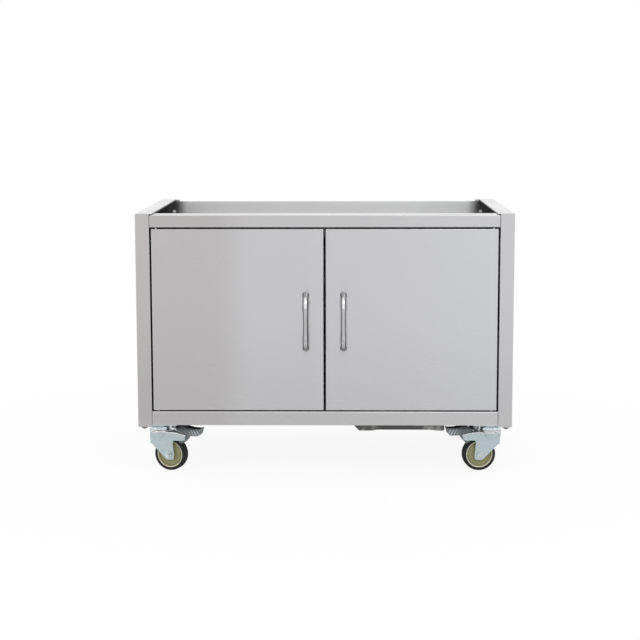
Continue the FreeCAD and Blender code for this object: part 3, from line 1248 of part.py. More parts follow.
def cabinet():
    """Every node of the cabinet that stays still."""
    left = side_panel_left()
    return {
        "side_panel_left": left,
        "side_panel_right": mirrored(left),
        "front_top_rail": front_top_rail(),
        "front_bottom_rail": front_bottom_rail(),
        "back_panel": back_panel(),
        "floor_panel": floor_panel(),
        "top_tray": top_tray(),
        "hose_grommet": hose_grommet(),
        "tank_well": tank_well(),
        "tank_clamp_screw": tank_clamp_screw(),
        "pivot_bushings": pivot_bushings(),
        "catch_housing": catch_housing(),
        "catch_magnets": catch_magnets(),
        "rail_screws": rail_screws(),
        "back_panel_bolts": back_panel_bolts(),
        "tray_screws": tray_screws(),
        "caster_bolts": caster_bolts(),
        "caster_nuts": caster_nuts(),
    }


def doors():
    """Every node of the two doors."""
    left = {
        "door_skin": door_skin(),
        "door_liner": door_liner(),
        "door_pivot_pins": door_pivot_pins(),
        "handle_feet": handle_feet(),
        "handle_tube": handle_tube(),
        "handle_screws": handle_screws(),
        "catch_plate": catch_plate(),
    }
    parts = {}
    for name, shape in left.items():
        parts[name + "_left"] = shape
        parts[name + "_right"] = mirrored(shape)
    return parts


def main():
    """Build every node and write it."""
    os.makedirs("parts", exist_ok=True)
    parts = {**cabinet(), **doors(), **casters()}
    for name, shape in parts.items():
        shape.exportStep("parts/" + name + ".step")


main()
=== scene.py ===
"""Looks of a stainless grill cart: the finish of every piece, a plain studio and the camera.

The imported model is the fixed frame. Its pieces keep their shape and place, and each gets a
finish of its own. One piece is pressed here, the trough under the floor's front edge. Lengths
are in metres, +X right, +Y back, +Z up, floor at Z = 0.
"""
import json
import logging
import math
from collections.abc import Iterable, Mapping
from dataclasses import dataclass, field
from enum import Enum

import bmesh
import bpy
from mathutils import Matrix, Vector


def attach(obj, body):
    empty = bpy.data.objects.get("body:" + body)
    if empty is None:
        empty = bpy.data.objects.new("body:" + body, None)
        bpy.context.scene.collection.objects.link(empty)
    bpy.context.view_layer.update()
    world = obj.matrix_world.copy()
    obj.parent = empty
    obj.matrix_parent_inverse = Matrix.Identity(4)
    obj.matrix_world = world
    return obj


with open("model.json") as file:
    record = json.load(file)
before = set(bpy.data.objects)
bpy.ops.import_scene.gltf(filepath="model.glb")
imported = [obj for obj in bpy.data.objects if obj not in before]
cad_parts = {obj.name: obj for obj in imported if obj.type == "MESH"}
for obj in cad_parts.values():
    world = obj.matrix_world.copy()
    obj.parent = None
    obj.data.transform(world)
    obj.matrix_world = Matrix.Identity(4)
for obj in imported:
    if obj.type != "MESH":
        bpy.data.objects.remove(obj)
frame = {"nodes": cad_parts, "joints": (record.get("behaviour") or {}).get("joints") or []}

LOG = logging.getLogger("grill_cart")
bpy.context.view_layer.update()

Colour = tuple[float, float, float]
Point = tuple[float, float, float]
Span = tuple[float, float]

RIGHTWARD: Point = (1.0, 0.0, 0.0)
FORWARD: Point = (0.0, -1.0, 0.0)
UPWARD: Point = (0.0, 0.0, 1.0)
ORIGIN: Point = (0.0, 0.0, 0.0)
WHITE: Colour = (1.0, 1.0, 1.0)
FULL_TURN = 2.0 * math.pi


# Shader maths

class Value:
    """A number that varies over a surface, written with Python's arithmetic."""

    def __init__(self, shader: "Shader", socket: bpy.types.NodeSocket) -> None:
        """Wrap one output socket of a shader's node tree."""
        self.shader = shader
        self.socket = socket

    def joined(self, operation: str, first: object, second: object = 0.0) -> "Value":
        """Add one Math node.

        Args:
            operation: the Math node's operation.
            first: number or Value for the first input.
            second: number or Value for the second input, where the operation has one.

        Returns:
            The node's result.
        """
        node = self.shader.node("ShaderNodeMath", {"operation": operation}, {0: first, 1: second})
        return Value(self.shader, node.outputs[0])

    def __add__(self, other: object) -> "Value":
        """Sum."""
        return self.joined("ADD", self, other)

    __radd__ = __add__

    def __sub__(self, other: object) -> "Value":
        """Difference."""
        return self.joined("SUBTRACT", self, other)

    def __rsub__(self, other: object) -> "Value":
        """Difference, the other way round."""
        return self.joined("SUBTRACT", other, self)

    def __mul__(self, other: object) -> "Value":
        """Product."""
        return self.joined("MULTIPLY", self, other)

    __rmul__ = __mul__

    def __lt__(self, other: object) -> "Value":
        """1 where this is the smaller, 0 elsewhere."""
        return self.joined("LESS_THAN", self, other)

    def __abs__(self) -> "Value":
        """Size without the sign."""
        return self.joined("ABSOLUTE", self)

    def sine(self) -> "Value":
        """Sine of this as an angle in radians."""
        return self.joined("SINE", self)

    def or_more(self, other: object) -> "Value":
        """The greater of the two."""
        return self.joined("MAXIMUM", self, other)

    def ramp(self, low: float, high: float) -> "Value":
        """Step up smoothly.

        Args:
            low: where the step is still 0.
            high: where the step has reached 1.

        Returns:
            The step's height.
        """
        node = self.shader.node("ShaderNodeMapRange", {"interpolation_type": "SMOOTHSTEP"},
                                {"Value": self, "From Min": low, "From Max": high})
        return Value(self.shader, node.outputs[0])


class Shader:
    """The node tree of one material or world."""

    def __init__(self, tree: bpy.types.NodeTree) -> None:
        """Start from an empty tree."""
        self.tree = tree
        tree.nodes.clear()

    @classmethod
    def of_material(cls, name: str) -> tuple[bpy.types.Material, "Shader"]:
        """Make a material.

        Args:
            name: the material's name.

        Returns:
            The material and its empty node tree.
        """
        material = bpy.data.materials.new(name)
        material.use_nodes = True
        return material, cls(material.node_tree)

    def node(self, kind: str, settings: Mapping[str, object] | None = None,
             values: Mapping[str | int, object] | None = None) -> bpy.types.Node:
        """Add a node.

        Args:
            kind: the node's type.
            settings: its own settings, set first.
            values: numbers, colours, Values or sockets for its inputs, by name or place.

        Returns:
            The new node.
        """
        made = self.tree.nodes.new(kind)
        for name, setting in (settings or {}).items():
            setattr(made, name, setting)
        for key, value in (values or {}).items():
            self.feed(made.inputs[key], value)
        return made

    def feed(self, socket: bpy.types.NodeSocket, value: object) -> None:
        """Give an input socket a link or a fixed value.

        Args:
            socket: the input.
            value: number, colour, Value or socket.
        """
        if isinstance(value, Value):
            value = value.socket
        if isinstance(value, bpy.types.NodeSocket):
            self.tree.links.new(value, socket)
        else:
            socket.default_value = value

    def place(self) -> bpy.types.NodeSocket:
        """Object coordinates, which are the cart's own metres."""
        return self.node("ShaderNodeTexCoord").outputs["Object"]

    def stretched(self, vector: bpy.types.NodeSocket, scale: Point) -> bpy.types.NodeSocket:
        """Coordinates scaled per axis."""
        return self.node("ShaderNodeMapping", {"vector_type": "POINT"},
                         {"Vector": vector, "Scale": scale}).outputs[0]

    def noise(self, vector: bpy.types.NodeSocket, scale: float = 1.0, detail: float = 2.0,
              roughness: float = 0.5) -> Value:
        """Lay noise over the coordinates.

        Args:
            vector: the coordinates.
            scale: features per unit of the coordinates.
            detail: how many finer layers lie on the first.
            roughness: how strong each finer layer is.

        Returns:
            The noise, from 0 to 1.
        """
        node = self.node("ShaderNodeTexNoise", None,
                         {"Vector": vector, "Scale": scale, "Detail": detail, "Roughness": roughness})
        return Value(self, node.outputs[0])

    def cells(self, vector: bpy.types.NodeSocket, scale: float) -> Value:
        """Lay a random cell pattern over the coordinates.

        Args:
            vector: the coordinates.
            scale: cells per metre.

        Returns:
            One grey per cell, from 0 to 1.
        """
        node = self.node("ShaderNodeTexVoronoi", None, {"Vector": vector, "Scale": scale})
        parts = self.node("ShaderNodeSeparateColor", None, {"Color": node.outputs["Color"]})
        return Value(self, parts.outputs[0])

    def along(self, vector: bpy.types.NodeSocket, axis: Point) -> Value:
        """How far the coordinates reach along an axis."""
        node = self.node("ShaderNodeVectorMath", {"operation": "DOT_PRODUCT"}, {0: vector, 1: axis})
        return Value(self, node.outputs["Value"])

    def normal(self) -> bpy.types.NodeSocket:
        """Direction square to the surface."""
        return self.node("ShaderNodeNewGeometry").outputs["Normal"]

    def facing(self, axis: Point) -> Value:
        """1 on faces square to an axis, 0 on faces along it."""
        return abs(self.along(self.normal(), axis))

    def distance(self, vector: bpy.types.NodeSocket, centre: Point, axis: Point) -> Value:
        """Measure the distance from a straight line.

        Args:
            vector: the coordinates.
            centre: a point on the line.
            axis: the line's direction, of length 1.

        Returns:
            The distance in metres.
        """
        from_centre = self.node("ShaderNodeVectorMath", {"operation": "SUBTRACT"},
                                {0: vector, 1: centre})
        across = self.node("ShaderNodeVectorMath", {"operation": "CROSS_PRODUCT"},
                           {0: from_centre.outputs[0], 1: axis})
        length = self.node("ShaderNodeVectorMath", {"operation": "LENGTH"}, {0: across.outputs[0]})
        return Value(self, length.outputs["Value"])

    def mixed(self, factor: object, first: object, second: object,
              blend: str = "MIX") -> bpy.types.NodeSocket:
        """Mix two colours.

        Args:
            factor: share of the second colour.
            first: colour or socket.
            second: colour or socket.
            blend: how the second is laid over the first.

        Returns:
            The mixed colour.
        """
        settings = {"data_type": "RGBA", "blend_type": blend, "clamp_factor": True}
        node = self.node("ShaderNodeMix", settings, {0: factor, 6: solid(first), 7: solid(second)})
        return node.outputs[2]

    def shaded(self, colour: Colour, amount: Value) -> bpy.types.NodeSocket:
        """A colour made lighter or darker by a number near 1."""
        grey = self.node("ShaderNodeCombineColor", None, {0: amount, 1: amount, 2: amount}).outputs[0]
        return self.mixed(1.0, colour, grey, "MULTIPLY")

    def bump(self, height: Value, depth: float, strength: float = 1.0) -> bpy.types.NodeSocket:
        """Normal bent by a height pattern that is depth metres deep."""
        values = {"Strength": strength, "Distance": depth, "Height": height}
        return self.node("ShaderNodeBump", None, values).outputs[0]

    def glow(self, colour: Colour, strength: float = 1.0) -> bpy.types.NodeSocket:
        """Shader that shows a colour as it is written, at a strength of 1."""
        values = {"Color": solid(colour), "Strength": strength}
        return self.node("ShaderNodeEmission", None, values).outputs[0]

    def blended(self, factor: object, first: object, second: object) -> bpy.types.NodeSocket:
        """Mix of two shaders, where the factor is the share of the second."""
        return self.node("ShaderNodeMixShader", None, {0: factor, 1: first, 2: second}).outputs[0]

    def ray(self, kind: str) -> Value:
        """1 for rays of one kind, such as camera or glossy rays, 0 for others."""
        return Value(self, self.node("ShaderNodeLightPath").outputs[kind])

    def surface(self, **sockets: object) -> None:
        """Close the tree with one Principled shader.

        Args:
            sockets: numbers, colours, Values or sockets by input name, with underscores for spaces.
        """
        values = {name.replace("_", " "): solid(value) for name, value in sockets.items()}
        principled = self.node("ShaderNodeBsdfPrincipled", None, values)
        self.node("ShaderNodeOutputMaterial", None, {"Surface": principled.outputs[0]})


def solid(value: object) -> object:
    """Make a colour opaque.

    Args:
        value: a colour of three numbers, or anything else.

    Returns:
        The colour as four numbers, or the value as it is.
    """
    if isinstance(value, tuple) and len(value) == 3:
        return (*value, 1.0)
    return value


# Finishes

class Grain(Enum):
    """The way a sheet's brush lines run."""

    LEVEL = (True, False, False)
    DEEP = (False, True, False)
    UPRIGHT = (False, False, True)

    def scale(self, across: float, along: float) -> Point:
        """Coordinate scale that draws noise out into lines.

        Args:
            across: lines per metre square to the grain.
            along: changes per metre along a line.

        Returns:
            The scale of each axis.
        """
        return tuple(along if runs else across for runs in self.value)


@dataclass(frozen=True)
class BrushedSteel:
    """Stainless sheet with fine brush lines.

    Its faces round the recess over the tray can carry painted shade, and its folds and flanges painted
    highlights.
    """

    name: str
    colour: Colour
    grain: Grain
    flat_grain: Grain = Grain.LEVEL
    roughness: float = 0.26
    spread: float = 0.92
    turn: float = 0.0
    fine_lines: float = 1500.0
    fine_run: float = 14.0
    fine_share: float = 0.62
    broad_lines: float = 160.0
    broad_run: float = 2.2
    line_depth: float = 1.6e-6
    plain_tone: float = 0.975
    variation: float = 0.025
    flat_faces: Span = (0.6, 0.8)
    inward: Point = UPWARD
    inward_faces: Span = (0.5, 0.8)
    # painted shade on the inner faces of the recess's sides
    painted_side_shade: float = 0.0
    forward_faces: Span = (-0.2, 0.5)
    # painted shade at both ends of the recess's back
    painted_end_shade: float = 0.0
    ends: Span = (0.376, 0.412)
    recess: Span = (0.560, 0.574)
    fold_faces: Span = (0.1, 0.4)
    # painted highlight on folds
    painted_fold_light: float = 0.0
    flange_faces: Span = (0.9, 0.98)
    # painted highlight on faces that look up
    painted_flange_light: float = 0.0

    def lines(self, shader: Shader, place: bpy.types.NodeSocket, grain: Grain) -> Value:
        """Lay fine and broad brush lines together.

        Args:
            shader: the material's node tree.
            place: coordinates of the surface.
            grain: the way the lines run.

        Returns:
            The lines' height, around 0.5.
        """
        fine = shader.stretched(place, grain.scale(self.fine_lines, self.fine_run))
        broad = shader.stretched(place, grain.scale(self.broad_lines, self.broad_run))
        return (shader.noise(fine, detail=3.0) * self.fine_share
                + shader.noise(broad, detail=2.0) * (1.0 - self.fine_share))

    def painted_recess_shade(self, shader: Shader, place: bpy.types.NodeSocket, tone: Value) -> Value:
        """Paint shade on the faces round the recess over the tray.

        Args:
            shader: the material's node tree.
            place: coordinates of the surface.
            tone: the sheet's tone so far.

        Returns:
            The tone, with painted shade on the recess's sides and at the two ends of its back.
        """
        # Painted shade: the recess's inner sides and the ends of its back are darkened.
        in_recess = shader.along(place, UPWARD).ramp(*self.recess)
        side = shader.along(shader.normal(), self.inward).ramp(*self.inward_faces) * in_recess
        forward = shader.along(shader.normal(), FORWARD).ramp(*self.forward_faces)
        end = abs(shader.along(place, RIGHTWARD)).ramp(*self.ends) * in_recess * forward
        return tone * (1.0 - side * self.painted_side_shade) * (1.0 - end * self.painted_end_shade)

    def painted_edge_light(self, shader: Shader, tone: Value) -> Value:
        """Paint highlights on the folds and the level flanges.

        Args:
            shader: the material's node tree.
            tone: the sheet's tone so far.

        Returns:
            The tone, with painted highlights on folds and on faces that look up.
        """
        # Painted highlight: folds and upward flanges are lightened.
        upward = shader.along(shader.normal(), UPWARD)
        flange = upward.ramp(*self.flange_faces)
        fold = upward.ramp(*self.fold_faces) * (1.0 - flange)
        return tone * (1.0 + fold * self.painted_fold_light + flange * self.painted_flange_light)

    def material(self) -> bpy.types.Material:
        """Build the material.

        Returns:
            The finished material.
        """
        material, shader = Shader.of_material(self.name)
        place = shader.place()
        level = shader.facing(UPWARD).ramp(*self.flat_faces)
        upright = self.lines(shader, place, self.grain)
        flat = self.lines(shader, place, self.flat_grain)
        lines = upright + level * (flat - upright)
        clouds = shader.noise(place, scale=7.0, detail=3.0, roughness=0.55)
        plain = self.plain_tone + lines * self.variation + clouds * self.variation
        # Painted shade in the recess, then painted highlights on folds and flanges.
        tone = self.painted_edge_light(shader, self.painted_recess_shade(shader, place, plain))
        shader.surface(Base_Color=shader.shaded(self.colour, tone), Metallic=1.0,
                       Roughness=self.roughness - 0.03 + lines * 0.05 + clouds * 0.02,
                       Anisotropic=self.spread, Anisotropic_Rotation=self.turn,
                       Normal=shader.bump(lines, self.line_depth))
        return material


@dataclass(frozen=True)
class PlatedSteel:
    """Pressed steel under bright zinc: faint cells and cloudy patches.

    Faces that look up can carry a painted highlight, and below a height it can carry painted shade.
    """

    name: str
    colour: Colour
    roughness: float = 0.38
    metallic: float = 1.0
    cell_scale: float = 420.0
    cell_share: float = 0.45
    contrast: float = 0.10
    dent_depth: float = 2.5e-5
    painted_top_light: float = 0.0
    top_light_faces: Span = (0.04, 0.4)
    shade_below: Span | None = None
    shade_tone: float = 0.25

    def material(self) -> bpy.types.Material:
        """Build the material.

        Returns:
            The finished material.
        """
        material, shader = Shader.of_material(self.name)
        place = shader.place()
        cells = shader.cells(place, self.cell_scale)
        clouds = shader.noise(place, scale=38.0, detail=4.0, roughness=0.6)
        dents = shader.noise(place, scale=260.0, detail=2.0)
        tone = 1.0 - self.contrast * 0.5 + (clouds - 0.5) * self.contrast
        tone = tone + cells * self.contrast * self.cell_share
        # Painted highlight: faces that look up are lightened.
        tone = tone + shader.along(shader.normal(), UPWARD).ramp(*self.top_light_faces) * self.painted_top_light
        # Painted shade: darker below a height, where the cup meets the yoke.
        if self.shade_below is not None:
            unshaded = shader.along(place, UPWARD).ramp(*self.shade_below)
            tone = tone * (self.shade_tone + unshaded * (1.0 - self.shade_tone))
        shader.surface(Base_Color=shader.shaded(self.colour, tone), Metallic=self.metallic,
                       Roughness=self.roughness - 0.04 + clouds * 0.09 + cells * 0.03,
                       Normal=shader.bump(dents, self.dent_depth, 0.6))
        return material


@dataclass(frozen=True)
class StampedPedal:
    """Plated pedal pressing with stamped ribs: dark as painted shade, with painted light on the toe and
    along its ribs, and more painted shade towards its top.
    """

    name: str
    swivel: Point
    heading: Point
    # zinc darkened as painted shade under the rail
    colour: Colour = (0.16, 0.175, 0.175)
    toe: Span = (0.070, 0.098)
    painted_toe_light: float = 0.95
    rib_pitch: float = 0.0075
    rib_lean: float = 0.5
    painted_rib_contrast: float = 1.8
    rib_depth: float = 2.5e-4
    scratch_scale: Point = (900.0, 900.0, 90.0)
    crest: Span = (0.099, 0.107)
    painted_crest_shade: float = 0.6

    def material(self) -> bpy.types.Material:
        """Build the material.

        Returns:
            The finished material.
        """
        material, shader = Shader.of_material(self.name)
        place = shader.place()
        reach = shader.along(place, self.heading) - sum(a * b for a, b in zip(self.swivel, self.heading))
        height = shader.along(place, UPWARD)
        toe = reach.ramp(*self.toe)
        ribs = ((reach + height * self.rib_lean) * (FULL_TURN / self.rib_pitch)).sine() * 0.5 + 0.5
        clouds = shader.noise(place, scale=120.0, detail=4.0, roughness=0.65)
        scratches = shader.noise(shader.stretched(place, self.scratch_scale), detail=3.0)
        # Painted light: the toe is lightened, with light and dark stripes along its ribs.
        dust_and_painted_light = toe * (self.painted_toe_light + (ribs - 0.5) * self.painted_rib_contrast)
        # Painted shade: darker towards the top of the pedal.
        crest = height.ramp(*self.crest) * self.painted_crest_shade
        tone = (0.45 + clouds * 0.9 + scratches * 0.2 + dust_and_painted_light) * (1.0 - crest)
        shader.surface(Base_Color=shader.shaded(self.colour, tone), Metallic=1.0,
                       Roughness=0.36 - toe * 0.10 + clouds * 0.08,
                       Normal=shader.bump(ribs * toe + scratches * 0.05, self.rib_depth))
        return material


@dataclass(frozen=True)
class RivetedSpring:
    """Blued leaf spring held by one bright rivet."""

    name: str
    rivet: Point
    rivet_radius: float
    blued: Colour = (0.07, 0.07, 0.075)
    bright: Colour = (0.88, 0.90, 0.90)
    skin_depth: float = 1e-5

    def material(self) -> bpy.types.Material:
        """Build the material.

        Returns:
            The finished material.
        """
        material, shader = Shader.of_material(self.name)
        place = shader.place()
        clouds = shader.noise(place, scale=90.0, detail=4.0)
        on_rivet = shader.distance(place, self.rivet, UPWARD) < self.rivet_radius
        blue = shader.shaded(self.blued, 0.9 + clouds * 0.25)
        shader.surface(Base_Color=shader.mixed(on_rivet, blue, self.bright), Metallic=1.0,
                       Roughness=0.30 + clouds * 0.1 - on_rivet * 0.08,
                       Normal=shader.bump(clouds, self.skin_depth))
        return material


@dataclass(frozen=True)
class AxleSteel:
    """Bright plated axle bolt and nut: threaded end, with painted shade in the crease round it."""

    name: str
    centre: Point
    axis: Point
    colour: Colour = (0.66, 0.72, 0.74)
    thread_radius: float = 0.0040
    thread_pitch: float = 0.00125
    thread_depth: float = 1.5e-4
    thread_play: float = 0.00005
    crease_gap: float = 0.0003
    crease: Span = (0.0001, 0.0008)
    painted_crease_shade: float = 0.75

    def material(self) -> bpy.types.Material:
        """Build the material.

        Returns:
            The finished material.
        """
        material, shader = Shader.of_material(self.name)
        place = shader.place()
        radius = shader.distance(place, self.centre, self.axis)
        crease = 1.0 - abs(radius - self.thread_radius - self.crease_gap).ramp(*self.crease)
        turns = shader.along(place, self.axis) * (FULL_TURN / self.thread_pitch)
        thread = turns.sine() * (radius < self.thread_radius + self.thread_play)
        clouds = shader.noise(place, scale=160.0, detail=4.0, roughness=0.6)
        # Painted shade in the crease round the threaded end.
        tone = (0.85 + clouds * 0.35) * (1.0 - crease * self.painted_crease_shade)
        shader.surface(Base_Color=shader.shaded(self.colour, tone), Metallic=1.0,
                       Roughness=0.22 + clouds * 0.1, Normal=shader.bump(thread, self.thread_depth))
        return material


@dataclass(frozen=True)
class TroughSteel:
    """Zinc on the floor's trough, dark as painted shade, plain in the middle and with painted
    reflections in patches towards its ends.
    """

    name: str
    centre: float
    # zinc darkened as painted shade under the floor
    colour: Colour = (0.105, 0.106, 0.102)
    reflection_ends: Span = (0.030, 0.085)
    painted_reflection: float = 2.4
    patches: Span = (0.40, 0.72)
    dent_depth: float = 4.0e-5

    def material(self) -> bpy.types.Material:
        """Build the material.

        Returns:
            The finished material.
        """
        material, shader = Shader.of_material(self.name)
        place = shader.place()
        ends = abs(shader.along(place, RIGHTWARD) - self.centre).ramp(*self.reflection_ends)
        reflection_patches = ends * shader.noise(place, scale=90.0, detail=3.0, roughness=0.6).ramp(*self.patches)
        dents = shader.noise(place, scale=220.0, detail=2.0)
        # Painted reflection: light patches towards the ends.
        tone = 0.85 + ends * 0.25 + reflection_patches * self.painted_reflection
        shader.surface(Base_Color=shader.shaded(self.colour, tone), Metallic=0.9,
                       Roughness=0.42 - reflection_patches * 0.1, Normal=shader.bump(dents, self.dent_depth, 0.6))
        return material


@dataclass(frozen=True)
class SatinCasting:
    """Cast and polished metal with a soft grain.

    Its flanks and undersides can carry painted shade, and its shoulders a painted highlight.
    """

    name: str
    colour: Colour
    roughness: float = 0.24
    painted_flank_shade: float = 0.0
    flank_faces: Span = (0.4, 0.8)
    under_faces: Span = (0.3, 0.9)
    painted_shoulder_light: float = 0.0
    shoulder_up: Span = (0.02, 0.16)
    shoulder_forward: Span = (0.55, 0.8)
    shoulder_sideways: Span = (0.15, 0.55)
    grain_lines: float = 2600.0
    grain_run: float = 120.0
    grain_depth: float = 3e-6

    def tone(self, shader: Shader, swirl: Value) -> Value:
        """Paint shade on the flanks and undersides and a highlight on the shoulders.

        Args:
            shader: the material's node tree.
            swirl: soft noise over the casting.

        Returns:
            The casting's tone.
        """
        normal = shader.normal()
        sideways = abs(shader.along(normal, RIGHTWARD))
        upward = shader.along(normal, UPWARD)
        forward = shader.along(normal, FORWARD)
        # Painted highlight on the shoulders that lean up and forward.
        rounded = upward.ramp(*self.shoulder_up) * forward.ramp(*self.shoulder_forward)
        shoulder = rounded * (1.0 - sideways.ramp(*self.shoulder_sideways))
        # Painted shade on the flanks and undersides.
        flank = sideways.ramp(*self.flank_faces) * self.painted_flank_shade
        under = (0.0 - upward).ramp(*self.under_faces) * self.painted_flank_shade * 0.5
        return (0.96 + swirl * 0.06) * (1.0 - flank) * (1.0 - under) + shoulder * self.painted_shoulder_light

    def material(self) -> bpy.types.Material:
        """Build the material.

        Returns:
            The finished material.
        """
        material, shader = Shader.of_material(self.name)
        place = shader.place()
        swirl = shader.noise(place, scale=90.0, detail=3.0)
        lines = shader.stretched(place, Grain.UPRIGHT.scale(self.grain_lines, self.grain_run))
        grain = shader.noise(lines, detail=2.0)
        shader.surface(Base_Color=shader.shaded(self.colour, self.tone(shader, swirl)), Metallic=1.0,
                       Roughness=self.roughness - 0.03 + swirl * 0.06 + grain * 0.03,
                       Normal=shader.bump(grain, self.grain_depth))
        return material


@dataclass(frozen=True)
class Moulded:
    """Moulded plastic or rubber with a fine skin."""

    name: str
    colour: Colour
    roughness: float = 0.55
    skin_scale: float = 1400.0
    skin_depth: float = 1.2e-5
    contrast: float = 0.12

    def material(self) -> bpy.types.Material:
        """Build the material.

        Returns:
            The finished material.
        """
        material, shader = Shader.of_material(self.name)
        place = shader.place()
        skin = shader.noise(place, scale=self.skin_scale, detail=2.0)
        clouds = shader.noise(place, scale=45.0, detail=4.0)
        shader.surface(Base_Color=shader.shaded(self.colour, 1.0 + (clouds - 0.5) * self.contrast),
                       Roughness=self.roughness - 0.04 + clouds * 0.08,
                       Normal=shader.bump(skin, self.skin_depth))
        return material


@dataclass(frozen=True)
class WheelCentre:
    """Moulded wheel centre: olive disc with a pale rim ring, and painted shade along a scored line
    inside it.
    """

    name: str
    centre: Point
    axis: Point
    disc: Colour = (0.285, 0.278, 0.128)
    ring: Colour = (0.72, 0.69, 0.54)
    groove_shade: Colour = (0.06, 0.06, 0.03)
    ring_edge: Span = (0.0298, 0.0305)
    score_radius: float = 0.0272
    score: Span = (0.0002, 0.0009)
    score_share: float = 0.8
    skin_depth: float = 2e-5

    def material(self) -> bpy.types.Material:
        """Build the material.

        Returns:
            The finished material.
        """
        material, shader = Shader.of_material(self.name)
        place = shader.place()
        radius = shader.distance(place, self.centre, self.axis)
        flow = shader.noise(place, scale=60.0, detail=4.0, roughness=0.6)
        skin = shader.noise(place, scale=1100.0, detail=2.0)
        ring = radius.ramp(*self.ring_edge)
        score = 1.0 - abs(radius - self.score_radius).ramp(*self.score)
        face = shader.mixed(ring, shader.shaded(self.disc, 0.90 + flow * 0.2), self.ring)
        # Painted shade along the scored groove.
        shader.surface(Base_Color=shader.mixed(score * self.score_share, face, self.groove_shade),
                       Roughness=0.46 + flow * 0.1,
                       Normal=shader.bump(skin * 0.5 + flow * 0.5, self.skin_depth))
        return material


@dataclass(frozen=True)
class TyreRubber:
    """Black tyre: dull tread with scuffs, smoother walls with faint moulding rings."""

    name: str
    centre: Point
    axis: Point
    colour: Colour = (0.009, 0.009, 0.011)
    dust: Colour = (0.03, 0.029, 0.028)
    dust_share: float = 0.35
    dusty: Span = (0.45, 0.80)
    tread_edge: Span = (0.0378, 0.0394)
    rings_per_metre: float = 1800.0
    relief: float = 4e-5

    def material(self) -> bpy.types.Material:
        """Build the material.

        Returns:
            The finished material.
        """
        material, shader = Shader.of_material(self.name)
        place = shader.place()
        radius = shader.distance(place, self.centre, self.axis)
        tread = radius.ramp(*self.tread_edge)
        scuffs = shader.noise(place, scale=320.0, detail=5.0, roughness=0.7)
        outward = shader.node("ShaderNodeCombineXYZ", None, {"X": radius * self.rings_per_metre})
        rings = shader.noise(outward.outputs[0], scale=1.0, detail=1.0)
        dust = scuffs.ramp(*self.dusty) * tread
        dust_and_painted_light = shader.mixed(dust * self.dust_share, self.colour, self.dust)
        shader.surface(Base_Color=dust_and_painted_light, Specular_IOR_Level=0.3,
                       Roughness=0.52 + tread * 0.14 + scuffs * 0.08,
                       Normal=shader.bump(rings * 0.4 + scuffs * 0.6, self.relief, 0.7))
        return material


# Names and steps that the sub-assemblies share

SIDES = ("left", "right")


class Corner(Enum):
    """A caster's place under the cart."""

    FRONT_LEFT = "front_left"
    FRONT_RIGHT = "front_right"
    REAR_LEFT = "rear_left"
    REAR_RIGHT = "rear_right"

    @property
    def braked(self) -> bool:
        """Whether this caster has a foot brake."""
        return self in (Corner.FRONT_LEFT, Corner.FRONT_RIGHT)


def placed(name: str, data: bpy.types.ID) -> bpy.types.Object:
    """Add an object to the scene.

    Args:
        name: the object's name.
        data: its mesh, lamp or camera.

    Returns:
        The new object.
    """
    made = bpy.data.objects.new(name, data)
    bpy.context.scene.collection.objects.link(made)
    return made


def finished(name: str, shape: bmesh.types.BMesh, material: bpy.types.Material) -> bpy.types.Object:
    """Turn a shape into an object of the scene.

    Args:
        name: the object's name.
        shape: its form, which is used up.
        material: what it wears.

    Returns:
        The new object.
    """
    mesh = bpy.data.meshes.new(name)
    shape.to_mesh(mesh)
    shape.free()
    mesh.materials.append(material)
    return placed(name, mesh)


def dress(nodes: Iterable[str], material: bpy.types.Material) -> None:
    """Give CAD nodes one material.

    Args:
        nodes: the nodes' names.
        material: what they wear.
    """
    for name in nodes:
        piece = frame["nodes"][name]
        piece.data.materials.clear()
        piece.data.materials.append(material)
        LOG.info("%s wears %s", name, material.name)


# Sub-assemblies

